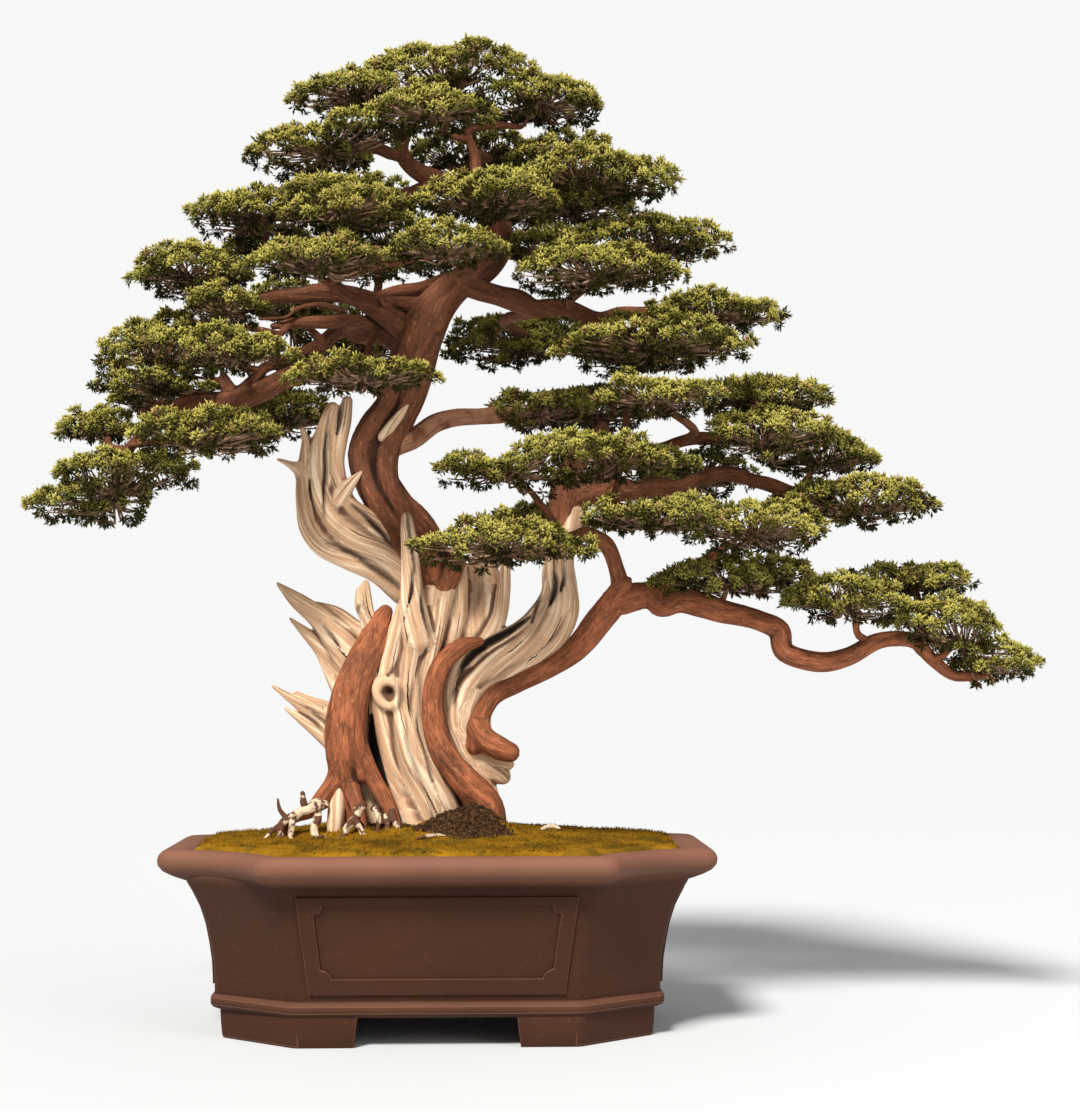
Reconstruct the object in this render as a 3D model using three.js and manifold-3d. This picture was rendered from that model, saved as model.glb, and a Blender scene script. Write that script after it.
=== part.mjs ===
// An old juniper bonsai in an unglazed clay pot. Millimetres, +Z up, the front faces -Y.
// The model is laid out round the middle of the pot's foot plane, and the whole group is moved at the
// end so that the origin is at the middle of the bottom of the object's box.
import * as THREE from 'three';
import { mergeVertices } from 'three/addons/utils/BufferGeometryUtils.js';
import Module from 'manifold-3d';

const wasm = await Module();
wasm.setup();

// ---- driving dimensions ---------------------------------------------------------------------
const GAP = 0.3;                 // clearance between neighbours that touch

const POT_HEIGHT = 200;
const FOOT_HEIGHT = 32;
const BEAD_TOP = 48;             // top of the base bead, and of the floor inside
const LIP_BOTTOM = 166;
const RIM = { x: 300, y: 214, cornerX: 185, cornerY: 110, dish: 28 };
const BODY = { x: 239, y: 155, cornerX: 150, cornerY: 90, dish: 0 };
const BEAD = { x: 243, y: 163, cornerX: 152, cornerY: 92, dish: 0 };
const FEET = { x: 233, y: 160, cornerX: 150, cornerY: 90, dish: 0 };
const FOOT_WALL = 30;
const FOOT_GAP = { topX: 78, bottomX: 86, topY: 48, bottomY: 56 };
const CAVITY = { x: 222, y: 139, cornerX: 144, cornerY: 84, dish: 0 };

// Height, outward shift in x and in y of each pot surface, from bottom to top.
const BODY_FLARE = [[44, 0, 0], [75, 1, 5], [105, 5, 11], [135, 13, 18], [155, 22, 23], [172, 30, 26]];
const LIP_ROLL = [[LIP_BOTTOM, -34, -34], [173, -17, -17], [182, -3, -3], [190, 0, 0], [197, -3, -3],
  [POT_HEIGHT, -10, -10]];
const BEAD_ROLL = [[FOOT_HEIGHT, -5, -5], [36, 0, 0], [44, 0, 0], [BEAD_TOP, -5, -5]];
const FOOT_DRAFT = [[0, -3, -3], [FOOT_HEIGHT + 1, 0, 0]];
const CAVITY_FLARE = [[BEAD_TOP, 0, 0], [100, 5, 8], [150, 20, 20], [172, 31, 28], [POT_HEIGHT + 20, 40, 39]];

// Raised panel frames: half-widths at the bottom and top, and how far they stand proud of the wall.
const FRAME_PROUD = 3;
const FRONT_FRAME = { z0: 57, z1: 159, outer0: 133, outer1: 145, inner0: 115, inner1: 125, border: 13 };
const SIDE_FRAME = { z0: 57, z1: 159, outer0: 74, outer1: 78, inner0: 59, inner1: 62, border: 13 };

const DRAIN = { x: 110, radius: 18 };
const SCREEN = { size: 64, thickness: 2, hole: 10, pitch: 18 };
const GRAVEL_TOP = 72;
const SOIL_EDGE = 193;           // height of the soil against the pot wall
const MOSS_THICKNESS = 9;
const MOUND = { x: -25, y: 10, height: 22, spreadX: 150, spreadY: 110 };

// ---- wood: stations are [x, y, z, radius] ------------------------------------------------------
// The trunk is one grown piece. Its stems and hollows are tapered limbs that merge.
const TRUNK = {
  heartwood: [[-20, 15, 180, 58], [-20, 15, 215, 54], [-30, 10, 280, 47], [-35, 5, 325, 41], [-40, 0, 370, 38],
    [-25, 0, 415, 38], [-15, 5, 455, 38], [-10, 10, 490, 34], [-20, 15, 525, 29]],
  hollow_flank: [[35, 30, 185, 42], [35, 30, 230, 38], [25, 20, 270, 37], [10, 15, 320, 36],
    [15, 20, 365, 36], [30, 25, 410, 36], [45, 30, 450, 30], [50, 35, 495, 20]],
  left_vein: [[-90, -20, 190, 36], [-95, -20, 225, 32], [-105, -15, 280, 24], [-105, -10, 325, 21],
    [-100, -10, 365, 21], [-80, -10, 395, 20], [-65, -5, 430, 18], [-50, 0, 465, 16]],
  left_root: [[-100, -15, 285, 18], [-115, -20, 262, 16], [-130, -25, 242, 14], [-155, -30, 228, 11],
    [-178, -34, 214, 8], [-195, -38, 195, 6]],
  front_root: [[-90, -30, 250, 16], [-88, -48, 228, 13], [-92, -66, 212, 10], [-96, -82, 195, 7]],
  broken_top: [[-58, -8, 410, 15], [-65, -12, 425, 13], [-75, -14, 450, 10], [-85, -16, 480, 6]],
  upper_wing: [[-80, 30, 370, 21], [-105, 35, 395, 28], [-135, 45, 435, 23], [-165, 50, 470, 10],
    [-185, 52, 490, 3]],
  lower_wing: [[-100, 15, 305, 20], [-130, 25, 330, 19], [-160, 30, 355, 11], [-185, 32, 370, 3]],
  front_spire: [[-25, -24, 430, 24], [-28, -32, 465, 17], [-34, -38, 520, 10], [-40, -42, 566, 5]],
  hook: [[-15, 15, 480, 30], [-45, 10, 515, 29], [-80, 5, 540, 31], [-115, 0, 557, 31], [-138, -5, 585, 22],
    [-140, -8, 615, 25], [-134, -5, 650, 19], [-120, 0, 697, 6]],
  hook_jin: [[-135, -8, 600, 13], [-160, -12, 618, 8], [-181, -15, 627, 2]],
  hook_spike: [[-125, -10, 575, 13], [-105, -14, 595, 8], [-90, -18, 612, 2]],
  ear: [[45, 10, 420, 20], [65, 5, 455, 14], [65, 10, 480, 14], [48, 20, 502, 13]],
  right_limb: [[20, 10, 320, 22], [32, 5, 365, 25], [65, 0, 395, 23], [105, -2, 420, 20], [127, 0, 450, 19],
    [135, 5, 475, 18], [133, 15, 508, 18], [145, 25, 550, 20], [150, 30, 585, 19], [150, 30, 612, 16],
    [165, 32, 640, 13], [182, 35, 665, 10]],
  right_vein: [[35, -15, 255, 18], [40, -25, 290, 13], [45, -25, 325, 12], [55, -15, 358, 12],
    [80, -5, 376, 12], [120, 0, 397, 13], [160, 5, 422, 14], [187, 10, 455, 15], [203, 10, 480, 15]],
  vein_stub: [[42, -25, 318, 13], [55, -32, 305, 12], [74, -35, 300, 10], [86, -36, 301, 7]],
  central_vein: [[58, -30, 215, 22], [52, -28, 245, 18], [25, -30, 275, 16], [10, -30, 310, 14],
    [5, -28, 345, 12], [5, -26, 380, 11], [25, -24, 408, 10], [42, -18, 422, 9]],
  live_trunk: [[5, 10, 470, 25], [-15, 10, 515, 29], [-37, 10, 560, 27], [-62, 10, 595, 26],
    [-79, 10, 627, 27], [-73, 10, 660, 26], [-52, 8, 690, 26], [-38, 5, 725, 26], [-26, 0, 765, 24],
    [-8, -5, 800, 21], [20, 0, 830, 18], [52, 5, 853, 16], [66, 5, 880, 15], [58, 5, 912, 16],
    [33, 5, 935, 14], [0, 5, 950, 12], [-30, 5, 962, 10], [-45, 5, 985, 8], [-30, 5, 1020, 7],
    [-5, 5, 1058, 5]],
  trunk_jin: [[-68, -12, 650, 8], [-50, -24, 670, 6], [-40, -30, 687, 3]],
  buried_root_right: [[25, 15, 205, 30], [95, 10, 178, 18], [160, 0, 150, 9]],
  buried_root_back: [[-10, 45, 205, 30], [10, 95, 175, 17], [25, 125, 150, 8]],
  buried_root_left: [[-80, 0, 205, 30], [-140, 20, 172, 16], [-185, 35, 145, 8]],
};

// Each primary branch grows from the trunk or from another branch.
const BRANCHES = {
  branch_left_low: [[-55, -2, 712, 18], [-80, -14, 722, 15], [-105, -26, 727, 14], [-135, -36, 728, 13],
    [-158, -38, 721, 13], [-197, -36, 703, 12], [-231, -32, 691, 12], [-275, -25, 692, 9],
    [-320, -20, 666, 8], [-355, -12, 632, 6]],
  branch_left_mid: [[-39, 4, 779, 15], [-59, 8, 793, 13], [-77, 10, 806, 13], [-95, 12, 815, 12],
    [-138, 16, 822, 11], [-165, 18, 819, 10], [-230, 15, 812, 9], [-280, 5, 805, 6]],
  branch_left_back: [[-40, 10, 768, 13], [-80, 60, 785, 12], [-130, 110, 790, 9], [-175, 140, 750, 7],
    [-200, 145, 712, 6]],
  branch_right_high: [[30, 0, 828, 12], [65, -5, 815, 11], [105, -8, 800, 10], [145, -5, 801, 9],
    [178, 0, 790, 9], [230, 5, 798, 8], [285, 5, 800, 6]],
  branch_right_grey: [[-55, 0, 650, 12], [-30, 0, 655, 9], [-8, 10, 672, 8], [15, 20, 680, 8],
    [40, 30, 682, 7], [85, 40, 686, 6]],
  branch_right_mid: [[150, 30, 590, 14], [180, 25, 596, 13], [225, 20, 596, 11], [270, 10, 598, 10],
    [312, 5, 614, 9], [372, 0, 602, 8], [420, 0, 583, 7]],
  branch_right_back: [[160, 35, 635, 12], [185, 85, 650, 10], [210, 140, 650, 8], [260, 165, 640, 6]],
  branch_right_low: [[200, 10, 478, 16], [235, 5, 476, 14], [295, 0, 466, 14], [345, 0, 452, 12],
    [383, 0, 436, 12], [390, 0, 412, 11], [428, 0, 401, 11], [462, 0, 407, 10], [497, 0, 424, 9],
    [535, 0, 424, 8], [556, 0, 404, 7], [580, 0, 386, 6], [620, 0, 384, 4]],
};
// Side shoots that belong to a primary branch or to the trunk.
const SIDE_SHOOTS = {
  branch_right_low: [
    [[208, 10, 470, 12], [200, 8, 505, 9], [188, -2, 532, 9], [165, -18, 543, 8], [130, -45, 536, 6]],
    [[240, 5, 474, 9], [258, 0, 488, 8], [275, -10, 497, 6]],
    [[545, 4, 415, 6], [552, 20, 440, 5], [548, 35, 480, 4]],
  ],
  branch_right_mid: [
    [[168, 28, 600, 9], [210, 10, 630, 8], [270, -5, 650, 7], [330, -20, 655, 6]],
    [[200, 22, 595, 8], [190, -40, 580, 7], [205, -95, 560, 5]],
  ],
  branch_left_low: [
    [[-228, -32, 692, 8], [-237, -32, 708, 7], [-242, -32, 720, 5]],
    [[-225, -32, 700, 6], [-195, -34, 728, 6], [-166, -34, 738, 7], [-142, -30, 750, 8]],
  ],
  branch_left_mid: [
    [[-77, 10, 806, 9], [-100, -50, 803, 8], [-120, -95, 812, 6]],
    [[-14, 0, 802, 11], [-46, 4, 808, 8], [-80, 10, 807, 8]],
    [[-80, 12, 810, 9], [-52, 18, 823, 8], [-21, 24, 829, 8], [8, 28, 842, 7]],
    [[-42, 18, 764, 9], [-70, 18, 783, 7], [-124, 12, 788, 8], [-165, 10, 786, 8], [-190, 0, 780, 5]],
    [[-172, 6, 784, 5], [-182, -4, 772, 5], [-224, -12, 777, 5], [-262, -14, 763, 4]],
  ],
  trunk: [
    [[-48, 5, 978, 7], [-85, -5, 985, 6], [-120, -20, 972, 5]],
    [[55, 5, 915, 8], [105, 0, 930, 7], [150, -15, 935, 5]],
    [[38, 5, 930, 7], [38, 0, 975, 6], [30, -5, 1005, 5], [90, -5, 1010, 4]],
    [[0, 5, 950, 8], [-60, 0, 925, 7], [-130, -5, 905, 6], [-190, 0, 905, 5]],
    [[62, 5, 870, 8], [120, 10, 865, 7], [190, 5, 868, 5]],
  ],
};
const STOUT = 24;                // a trunk limb that starts thicker than this has more sides
const SIDES = { stout: 8, slim: 5, branch: 6, shoot: 5, stem: 4 };
// A stem's radius at its two ends, how deep under its lobe's middle it ends, and where and how far it sags.
const STEM = { start: 5, end: 3, depth: 0.3, bend: 0.55, sag: 0.12, searchSteps: 4 };

// ---- foliage: name, what carries it, and lobes [x, y, z, half-width, half-depth, half-height] ---
const FOLIAGE = [
  ['foliage_apex', 'trunk', [[5, 0, 1076, 90, 70, 26], [-90, -40, 1035, 80, 60, 24], [105, 10, 1042, 80, 65, 28]]],
  ['foliage_apex_front', 'trunk', [[-5, -105, 1000, 66, 50, 21]]],
  ['foliage_apex_back', 'trunk', [[40, 110, 1010, 85, 60, 26], [145, 140, 950, 85, 65, 30]]],
  ['foliage_upper_left', 'trunk', [[-150, -30, 970, 70, 60, 28], [-88, -65, 988, 52, 42, 18]]],
  ['foliage_upper_left_front', 'trunk', [[-100, -120, 884, 70, 50, 25], [-125, -100, 915, 46, 40, 18]]],
  ['foliage_upper_left_side', 'trunk', [[-218, 0, 908, 62, 60, 31]]],
  ['foliage_upper_left_back', 'trunk', [[-110, 120, 950, 80, 60, 28], [-60, 200, 900, 80, 60, 28]]],
  ['foliage_trunk_front', 'trunk', [[50, -95, 902, 80, 52, 30]]],
  ['foliage_left_shelf', 'branch_left_mid', [[-283, 0, 839, 65, 60, 32]]],
  ['foliage_left_shelf_back', 'branch_left_mid', [[-205, 95, 890, 55, 50, 22]]],
  ['foliage_left_shelf_front', 'branch_left_mid', [[-130, -130, 827, 80, 50, 27]]],
  ['foliage_centre_front', 'trunk', [[8, -150, 838, 62, 45, 23]]],
  ['foliage_left_tuft', 'branch_left_mid', [[-235, -65, 790, 42, 40, 21]]],
  ['foliage_left_wide', 'branch_left_mid', [[-300, -20, 744, 78, 60, 34], [-320, 55, 780, 38, 40, 20],
    [-318, -25, 712, 72, 50, 18]]],
  ['foliage_left_centre', 'branch_left_low', [[-215, -120, 732, 58, 45, 24]]],
  ['foliage_trunk_low', 'branch_left_low', [[-80, -165, 702, 78, 45, 20]]],
  ['foliage_left_rear', 'branch_left_back', [[-340, 110, 712, 52, 50, 18]]],
  ['foliage_left_far', 'branch_left_low', [[-392, 35, 666, 45, 45, 22]]],
  ['foliage_left_low', 'branch_left_low', [[-252, -105, 642, 74, 54, 30]]],
  ['foliage_left_tip', 'branch_left_low', [[-348, -25, 610, 74, 60, 28], [-392, -5, 574, 62, 50, 21]]],
  ['foliage_left_under', 'branch_left_back', [[-185, 140, 695, 55, 55, 26], [-275, 135, 676, 66, 52, 22]]],
  ['foliage_back_left', 'branch_left_back', [[-185, 215, 845, 72, 60, 24], [-105, 235, 790, 72, 60, 24]]],
  ['foliage_back_centre', 'branch_right_high', [[72, 170, 785, 72, 60, 32], [120, 245, 815, 80, 55, 26]]],
  ['foliage_upper_right', 'trunk', [[172, -25, 944, 95, 65, 31], [140, 20, 978, 70, 55, 24]]],
  ['foliage_upper_right_side', 'trunk', [[238, 10, 880, 86, 65, 30], [128, -15, 872, 56, 48, 22]]],
  ['foliage_upper_right_front', 'branch_right_high', [[175, -95, 826, 90, 55, 28]]],
  ['foliage_right_shelf', 'branch_right_high', [[316, 10, 799, 80, 62, 27]]],
  ['foliage_right_wide', 'branch_right_high', [[235, -75, 750, 108, 60, 31]]],
  ['foliage_right_back', 'branch_right_high', [[240, 165, 775, 78, 60, 26]]],
  ['foliage_right_side', 'branch_right_high', [[370, 20, 703, 72, 60, 27]]],
  ['foliage_right_front', 'branch_right_mid', [[232, -128, 686, 66, 46, 26]]],
  ['foliage_right_inner', 'branch_right_grey', [[115, 45, 692, 58, 50, 27]]],
  ['foliage_right_inner_back', 'branch_right_back', [[180, 215, 712, 74, 60, 25]]],
  ['foliage_right_cloud', 'branch_right_mid', [[370, -35, 652, 70, 55, 32], [438, 25, 632, 60, 55, 27]]],
  ['foliage_right_cloud_back', 'branch_right_back', [[305, 165, 625, 70, 58, 26]]],
  ['foliage_second_front', 'branch_right_mid', [[165, -120, 616, 104, 55, 26], [45, -128, 605, 46, 40, 18],
    [58, -122, 583, 34, 28, 12]]],
  ['foliage_right_reach', 'branch_right_mid', [[470, 0, 579, 95, 60, 28]]],
  ['foliage_second_low', 'branch_right_mid', [[228, -130, 553, 74, 50, 24]]],
  ['foliage_right_mid_low', 'branch_right_mid', [[346, -60, 546, 76, 55, 29]]],
  ['foliage_hollow_front', 'branch_right_low', [[70, -150, 522, 94, 50, 30]]],
  ['foliage_second_back', 'branch_right_back', [[115, 165, 565, 70, 55, 23]]],
  ['foliage_riser', 'branch_right_low', [[302, -15, 494, 66, 52, 28], [382, 40, 498, 46, 42, 24]]],
  ['foliage_long_near', 'branch_right_low', [[450, -35, 468, 68, 52, 31]]],
  ['foliage_long_side', 'branch_right_low', [[545, 45, 495, 68, 52, 23]]],
  ['foliage_long_tip', 'branch_right_low', [[572, -5, 442, 60, 52, 34], [633, 0, 397, 46, 42, 24]]],
];

// ---- materials ----------------------------------------------------------------------------------
const paint = (color, roughness) => new THREE.MeshStandardMaterial({ color, roughness, metalness: 0 });
const CLAY = paint(0x5a4638, 0.75);
const NET = paint(0x2b2b2b, 0.6);
const GRIT = paint(0x7a6a58, 0.95);
const EARTH = paint(0x2c2119, 1.0);
const MOSS = paint(0x75661f, 0.95);
const DEADWOOD = paint(0xd9c3a3, 0.8);
const BARK = paint(0x6e3c26, 0.85);
const LEAVES = paint(0x5f7029, 0.8);

// ---- solids -------------------------------------------------------------------------------------
function solid(geometry) {
  const bare = geometry.clone();
  bare.deleteAttribute('normal');
  bare.deleteAttribute('uv');
  const merged = mergeVertices(bare, 1e-4);
  return new wasm.Manifold(new wasm.Mesh({
    numProp: 3,
    vertProperties: new Float32Array(merged.attributes.position.array),
    triVerts: new Uint32Array(merged.index.array),
  }));
}

const unite = (parts) => parts.reduce((sum, part) => sum.add(part));

// The piece of a cut solid that is left as the part; crumbs that a cut leaves behind are dropped.
function largest(body) {
  return body.decompose().reduce((best, part) => (part.volume() > best.volume() ? part : best));
}

function toGeometry(body) {
  const mesh = body.getMesh();
  const geometry = new THREE.BufferGeometry();
  geometry.setAttribute('position', new THREE.BufferAttribute(new Float32Array(mesh.vertProperties), 3));
  geometry.setIndex(new THREE.BufferAttribute(new Uint32Array(mesh.triVerts), 1));
  geometry.computeVertexNormals();
  return geometry;
}

const group = new THREE.Group();
function addPart(name, body, material) {
  const mesh = new THREE.Mesh(toGeometry(largest(body)), material);
  mesh.name = name;
  group.add(mesh);
}

// ---- pot ------------------------------------------------------------------------------------------
// A long plan with cut corners; a dish above 0 hollows the cut edges. Inset shrinks it all round, and
// moves the ends of the cut corners by a share of itself.
const CORNER_SHARE = 0.4;
const FLARE_START = 0.8;         // share of a corner's distance at which the wall begins to flare
const BORE_SIDES = 20;
function potPlan({ x, y, cornerX, cornerY, dish }, inset = 0) {
  const hx = x - inset;
  const hy = y - inset;
  const cx = cornerX - inset * CORNER_SHARE;
  const cy = cornerY - inset * CORNER_SHARE;
  const mid = { x: (cx + hx) / 2 - dish, y: (cy + hy) / 2 - dish };
  const shape = new THREE.Shape();
  shape.moveTo(-cx, -hy);
  shape.lineTo(cx, -hy);
  const cutTo = (ctrlX, ctrlY, endX, endY) => {
    if (dish > 0) shape.quadraticCurveTo(ctrlX, ctrlY, endX, endY);
    else shape.lineTo(endX, endY);
  };
  cutTo(mid.x, -mid.y, hx, -cy);
  shape.lineTo(hx, cy);
  cutTo(mid.x, mid.y, cx, hy);
  shape.lineTo(-cx, hy);
  cutTo(-mid.x, mid.y, -hx, cy);
  shape.lineTo(-hx, -cy);
  cutTo(-mid.x, -mid.y, -cx, -hy);
  return shape;
}

const clamp01 = (value) => Math.min(1, Math.max(0, value));

// Extrudes a plan and flares it: levels are [height, outward shift in x, outward shift in y].
function flared(plan, levels, inset = 0) {
  const steps = levels.length - 1;
  const geometry = new THREE.ExtrudeGeometry(potPlan(plan, inset),
    { depth: steps, steps, bevelEnabled: false, curveSegments: 4 });
  const point = new THREE.Vector3();
  const { position } = geometry.attributes;
  for (let i = 0; i < position.count; i += 1) {
    point.fromBufferAttribute(position, i);
    const [height, outX, outY] = levels[Math.round(point.z)];
    const startX = plan.cornerX * FLARE_START;
    const startY = plan.cornerY * FLARE_START;
    const rampX = clamp01((Math.abs(point.x) - startX) / (plan.x - inset - startX));
    const rampY = clamp01((Math.abs(point.y) - startY) / (plan.y - inset - startY));
    point.x += Math.sign(point.x) * outX * rampX;
    point.y += Math.sign(point.y) * outY * rampY;
    position.setXYZ(i, point.x, point.y, height);
  }
  return solid(geometry);
}

// A prism of an outline drawn in X and Z that runs through the pot along Y, or along X when turned.
function crossPrism(shape, length, alongX) {
  const geometry = new THREE.ExtrudeGeometry(shape, { depth: length, bevelEnabled: false });
  geometry.translate(0, 0, -length / 2);
  geometry.rotateX(Math.PI / 2);
  if (alongX) geometry.rotateZ(Math.PI / 2);
  return solid(geometry);
}

function trapezoid(bottom, top, z0, z1, path = new THREE.Shape()) {
  path.moveTo(-bottom, z0);
  path.lineTo(bottom, z0);
  path.lineTo(top, z1);
  path.lineTo(-top, z1);
  path.closePath();
  return path;
}

function panelFrame({ z0, z1, outer0, outer1, inner0, inner1, border }) {
  const shape = trapezoid(outer0, outer1, z0, z1);
  shape.holes.push(trapezoid(inner0, inner1, z0 + border, z1 - border, new THREE.Path()));
  return shape;
}

function makePot() {
  const proud = BODY_FLARE.map(([z, outX, outY]) => [z, outX + FRAME_PROUD, outY + FRAME_PROUD]);
  const skin = flared(BODY, proud);
  const frames = skin.intersect(crossPrism(panelFrame(FRONT_FRAME), 2 * RIM.y, false))
    .add(skin.intersect(crossPrism(panelFrame(SIDE_FRAME), 2 * RIM.x, true)));
  const feet = flared(FEET, FOOT_DRAFT)
    .subtract(flared(FEET, [[-1, 0, 0], [FOOT_HEIGHT, 0, 0]], FOOT_WALL))
    .subtract(crossPrism(trapezoid(FOOT_GAP.bottomX, FOOT_GAP.topX, -1, FOOT_HEIGHT), 2 * RIM.y, false))
    .subtract(crossPrism(trapezoid(FOOT_GAP.bottomY, FOOT_GAP.topY, -1, FOOT_HEIGHT), 2 * RIM.x, true));
  const shell = unite([flared(BODY, BODY_FLARE), flared(RIM, LIP_ROLL), flared(BEAD, BEAD_ROLL), frames, feet]);
  const drains = [-1, 1].map((side) => {
    const bore = new THREE.CylinderGeometry(DRAIN.radius, DRAIN.radius, 2 * BEAD_TOP, BORE_SIDES);
    bore.rotateX(Math.PI / 2);
    bore.translate(side * DRAIN.x, 0, BEAD_TOP);
    return solid(bore);
  });
  return shell.subtract(unite([flared(CAVITY, CAVITY_FLARE), ...drains]));
}

// A block by its middle and its full size.
function block(centre, size) {
  const geometry = new THREE.BoxGeometry(...size);
  geometry.translate(...centre);
  return solid(geometry);
}

const screenCentre = (side) => [side * DRAIN.x, 0, BEAD_TOP + GAP + SCREEN.thickness / 2];

function makeScreen(side) {
  const [x, y, z] = screenCentre(side);
  const plate = block([x, y, z], [SCREEN.size, SCREEN.size, SCREEN.thickness]);
  const holes = [];
  for (const i of [-1, 0, 1]) {
    for (const j of [-1, 0, 1]) {
      holes.push(block([x + i * SCREEN.pitch, y + j * SCREEN.pitch, z],
        [SCREEN.hole, SCREEN.hole, 2 * SCREEN.thickness]));
    }
  }
  return plate.subtract(unite(holes));
}

// ---- filling ----------------------------------------------------------------------------------------
const BED_GRID = [9, 6];
const mound = (x, y) => MOUND.height
  * Math.exp(-(((x - MOUND.x) / MOUND.spreadX) ** 2) - ((y - MOUND.y) / MOUND.spreadY) ** 2);

// A block whose top is mounded, wider than the pot, and what of it lies inside the pot.
function bed(bottom, edgeHeight) {
  const geometry = new THREE.BoxGeometry(2 * RIM.x, 2 * RIM.y, 1, ...BED_GRID, 1);
  const { position } = geometry.attributes;
  for (let i = 0; i < position.count; i += 1) {
    const x = position.getX(i);
    const y = position.getY(i);
    position.setZ(i, position.getZ(i) > 0 ? edgeHeight + mound(x, y) : bottom);
  }
  return solid(geometry);
}

const cavity = () => flared(CAVITY, CAVITY_FLARE, GAP);
const filling = (bottom, edgeHeight) => bed(bottom, edgeHeight).intersect(cavity());

// ---- wood -------------------------------------------------------------------------------------------
// A cylinder bent along a smooth curve through its stations, with the radius of each station.
function limb(stations, sides, grow = 0) {
  const curve = new THREE.CatmullRomCurve3(stations.map(([x, y, z]) => new THREE.Vector3(x, y, z)));
  const spans = stations.length - 1;
  const geometry = new THREE.CylinderGeometry(1, 1, 1, sides, spans);
  const { tangents, normals, binormals } = curve.computeFrenetFrames(spans);
  const { position } = geometry.attributes;
  for (let i = 0; i < position.count; i += 1) {
    const step = Math.round((position.getY(i) + 0.5) * spans);
    const radius = stations[step][3] + grow;
    const centre = curve.getPoint(step / spans);
    if (step === 0) centre.addScaledVector(tangents[0], -grow);
    if (step === spans) centre.addScaledVector(tangents[spans], grow);
    centre.addScaledVector(normals[step], position.getX(i) * radius);
    centre.addScaledVector(binormals[step], -position.getZ(i) * radius);
    position.setXYZ(i, centre.x, centre.y, centre.z);
  }
  return solid(geometry);
}

// The short stem that rises from the nearest wood of its carrier into the middle of a foliage lobe.
function stemTo(lobe, paths) {
  const [x, y, z, , , halfHeight] = lobe;
  const target = new THREE.Vector3(x, y, z - halfHeight * STEM.depth);
  let root = null;
  for (const stations of paths) {
    const curve = new THREE.CatmullRomCurve3(stations.map((s) => new THREE.Vector3(s[0], s[1], s[2])));
    for (const point of curve.getPoints(stations.length * STEM.searchSteps)) {
      if (!root || point.distanceTo(target) < root.distanceTo(target)) root = point;
    }
  }
  const middle = root.clone().lerp(target, STEM.bend);
  middle.z -= STEM.sag * root.distanceTo(target);
  return [[root.x, root.y, root.z, STEM.start], [middle.x, middle.y, middle.z, STEM.start],
    [target.x, target.y, target.z, STEM.end]];
}

const CROWN_START = 5;           // the station of the live trunk above which stems may leave it
function woodPaths(carrier) {
  const main = carrier === 'trunk' ? [TRUNK.live_trunk.slice(CROWN_START)] : [BRANCHES[carrier]];
  return [...main, ...(SIDE_SHOOTS[carrier] ?? [])];
}

// All limbs of the trunk or a branch as [stations, sides], its stems included.
function woodOf(carrier) {
  const stems = FOLIAGE.filter(([, holder]) => holder === carrier)
    .flatMap(([, , lobes]) => lobes.map((lobe) => [stemTo(lobe, woodPaths(carrier)), SIDES.stem]));
  const shoots = (SIDE_SHOOTS[carrier] ?? []).map((stations) => [stations, SIDES.shoot]);
  const main = carrier === 'trunk'
    ? Object.values(TRUNK).map((stations) => [stations, stations[0][3] > STOUT ? SIDES.stout : SIDES.slim])
    : [[BRANCHES[carrier], SIDES.branch]];
  return [...main, ...shoots, ...stems];
}

const merge = (limbs, grow = 0) => unite(limbs.map(([stations, sides]) => limb(stations, sides, grow)));

// ---- foliage ------------------------------------------------------------------------------------------
// A foliage lobe is domed above and nearly flat below, and a facetted ball is drawn a little large.
const UNDERSIDE = 0.55;
const FACET = 1.06;
const BALL = { around: 8, up: 4 };
const BRIDGE = { width: 0.75, height: 0.5 };
function lobeSolid([x, y, z, halfWidth, halfDepth, halfHeight], grow = 0) {
  const ball = new THREE.SphereGeometry(1, BALL.around, BALL.up);
  ball.rotateX(Math.PI / 2);
  const { position } = ball.attributes;
  for (let i = 0; i < position.count; i += 1) {
    const up = position.getZ(i);
    position.setXYZ(i, x + position.getX(i) * (halfWidth * FACET + grow),
      y + position.getY(i) * (halfDepth * FACET + grow),
      z + (up > 0 ? up : up * UNDERSIDE) * (halfHeight * FACET + grow));
  }
  return solid(ball);
}

// Foliage that joins two neighbouring lobes of one pad.
function bridge(a, b) {
  const middle = a.slice(0, 3).map((value, i) => (value + b[i]) / 2);
  const halfWidth = Math.min(a[3], b[3]) * BRIDGE.width;
  const halfDepth = Math.min(a[4], b[4]) * BRIDGE.width;
  return [...middle, halfWidth, halfDepth, Math.min(a[5], b[5]) * BRIDGE.height + Math.abs(a[2] - b[2]) / 2];
}

function padSolid(lobes, grow = 0) {
  const bridges = lobes.slice(1).map((lobe) => bridge(lobes[0], lobe));
  return unite([...lobes, ...bridges].map((lobe) => lobeSolid(lobe, grow)));
}

// ---- assembly -------------------------------------------------------------------------------------------
const pot = makePot();
addPart('pot', pot, CLAY);

const screens = [makeScreen(-1), makeScreen(1)];
addPart('drain_screen_left', screens[0], NET);
addPart('drain_screen_right', screens[1], NET);

const clearOfScreens = [-1, 1].map((side) => block(screenCentre(side),
  [SCREEN.size + 2 * GAP, SCREEN.size + 2 * GAP, SCREEN.thickness + 2 * GAP]));
const gravelBed = block([0, 0, (BEAD_TOP + GAP + GRAVEL_TOP) / 2],
  [2 * RIM.x, 2 * RIM.y, GRAVEL_TOP - BEAD_TOP - GAP]);
addPart('drainage_gravel', gravelBed.intersect(cavity()).subtract(unite(clearOfScreens)), GRIT);

const trunkLimbs = woodOf('trunk');
const trunk = merge(trunkLimbs);
let taken = merge(trunkLimbs, GAP);

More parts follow.
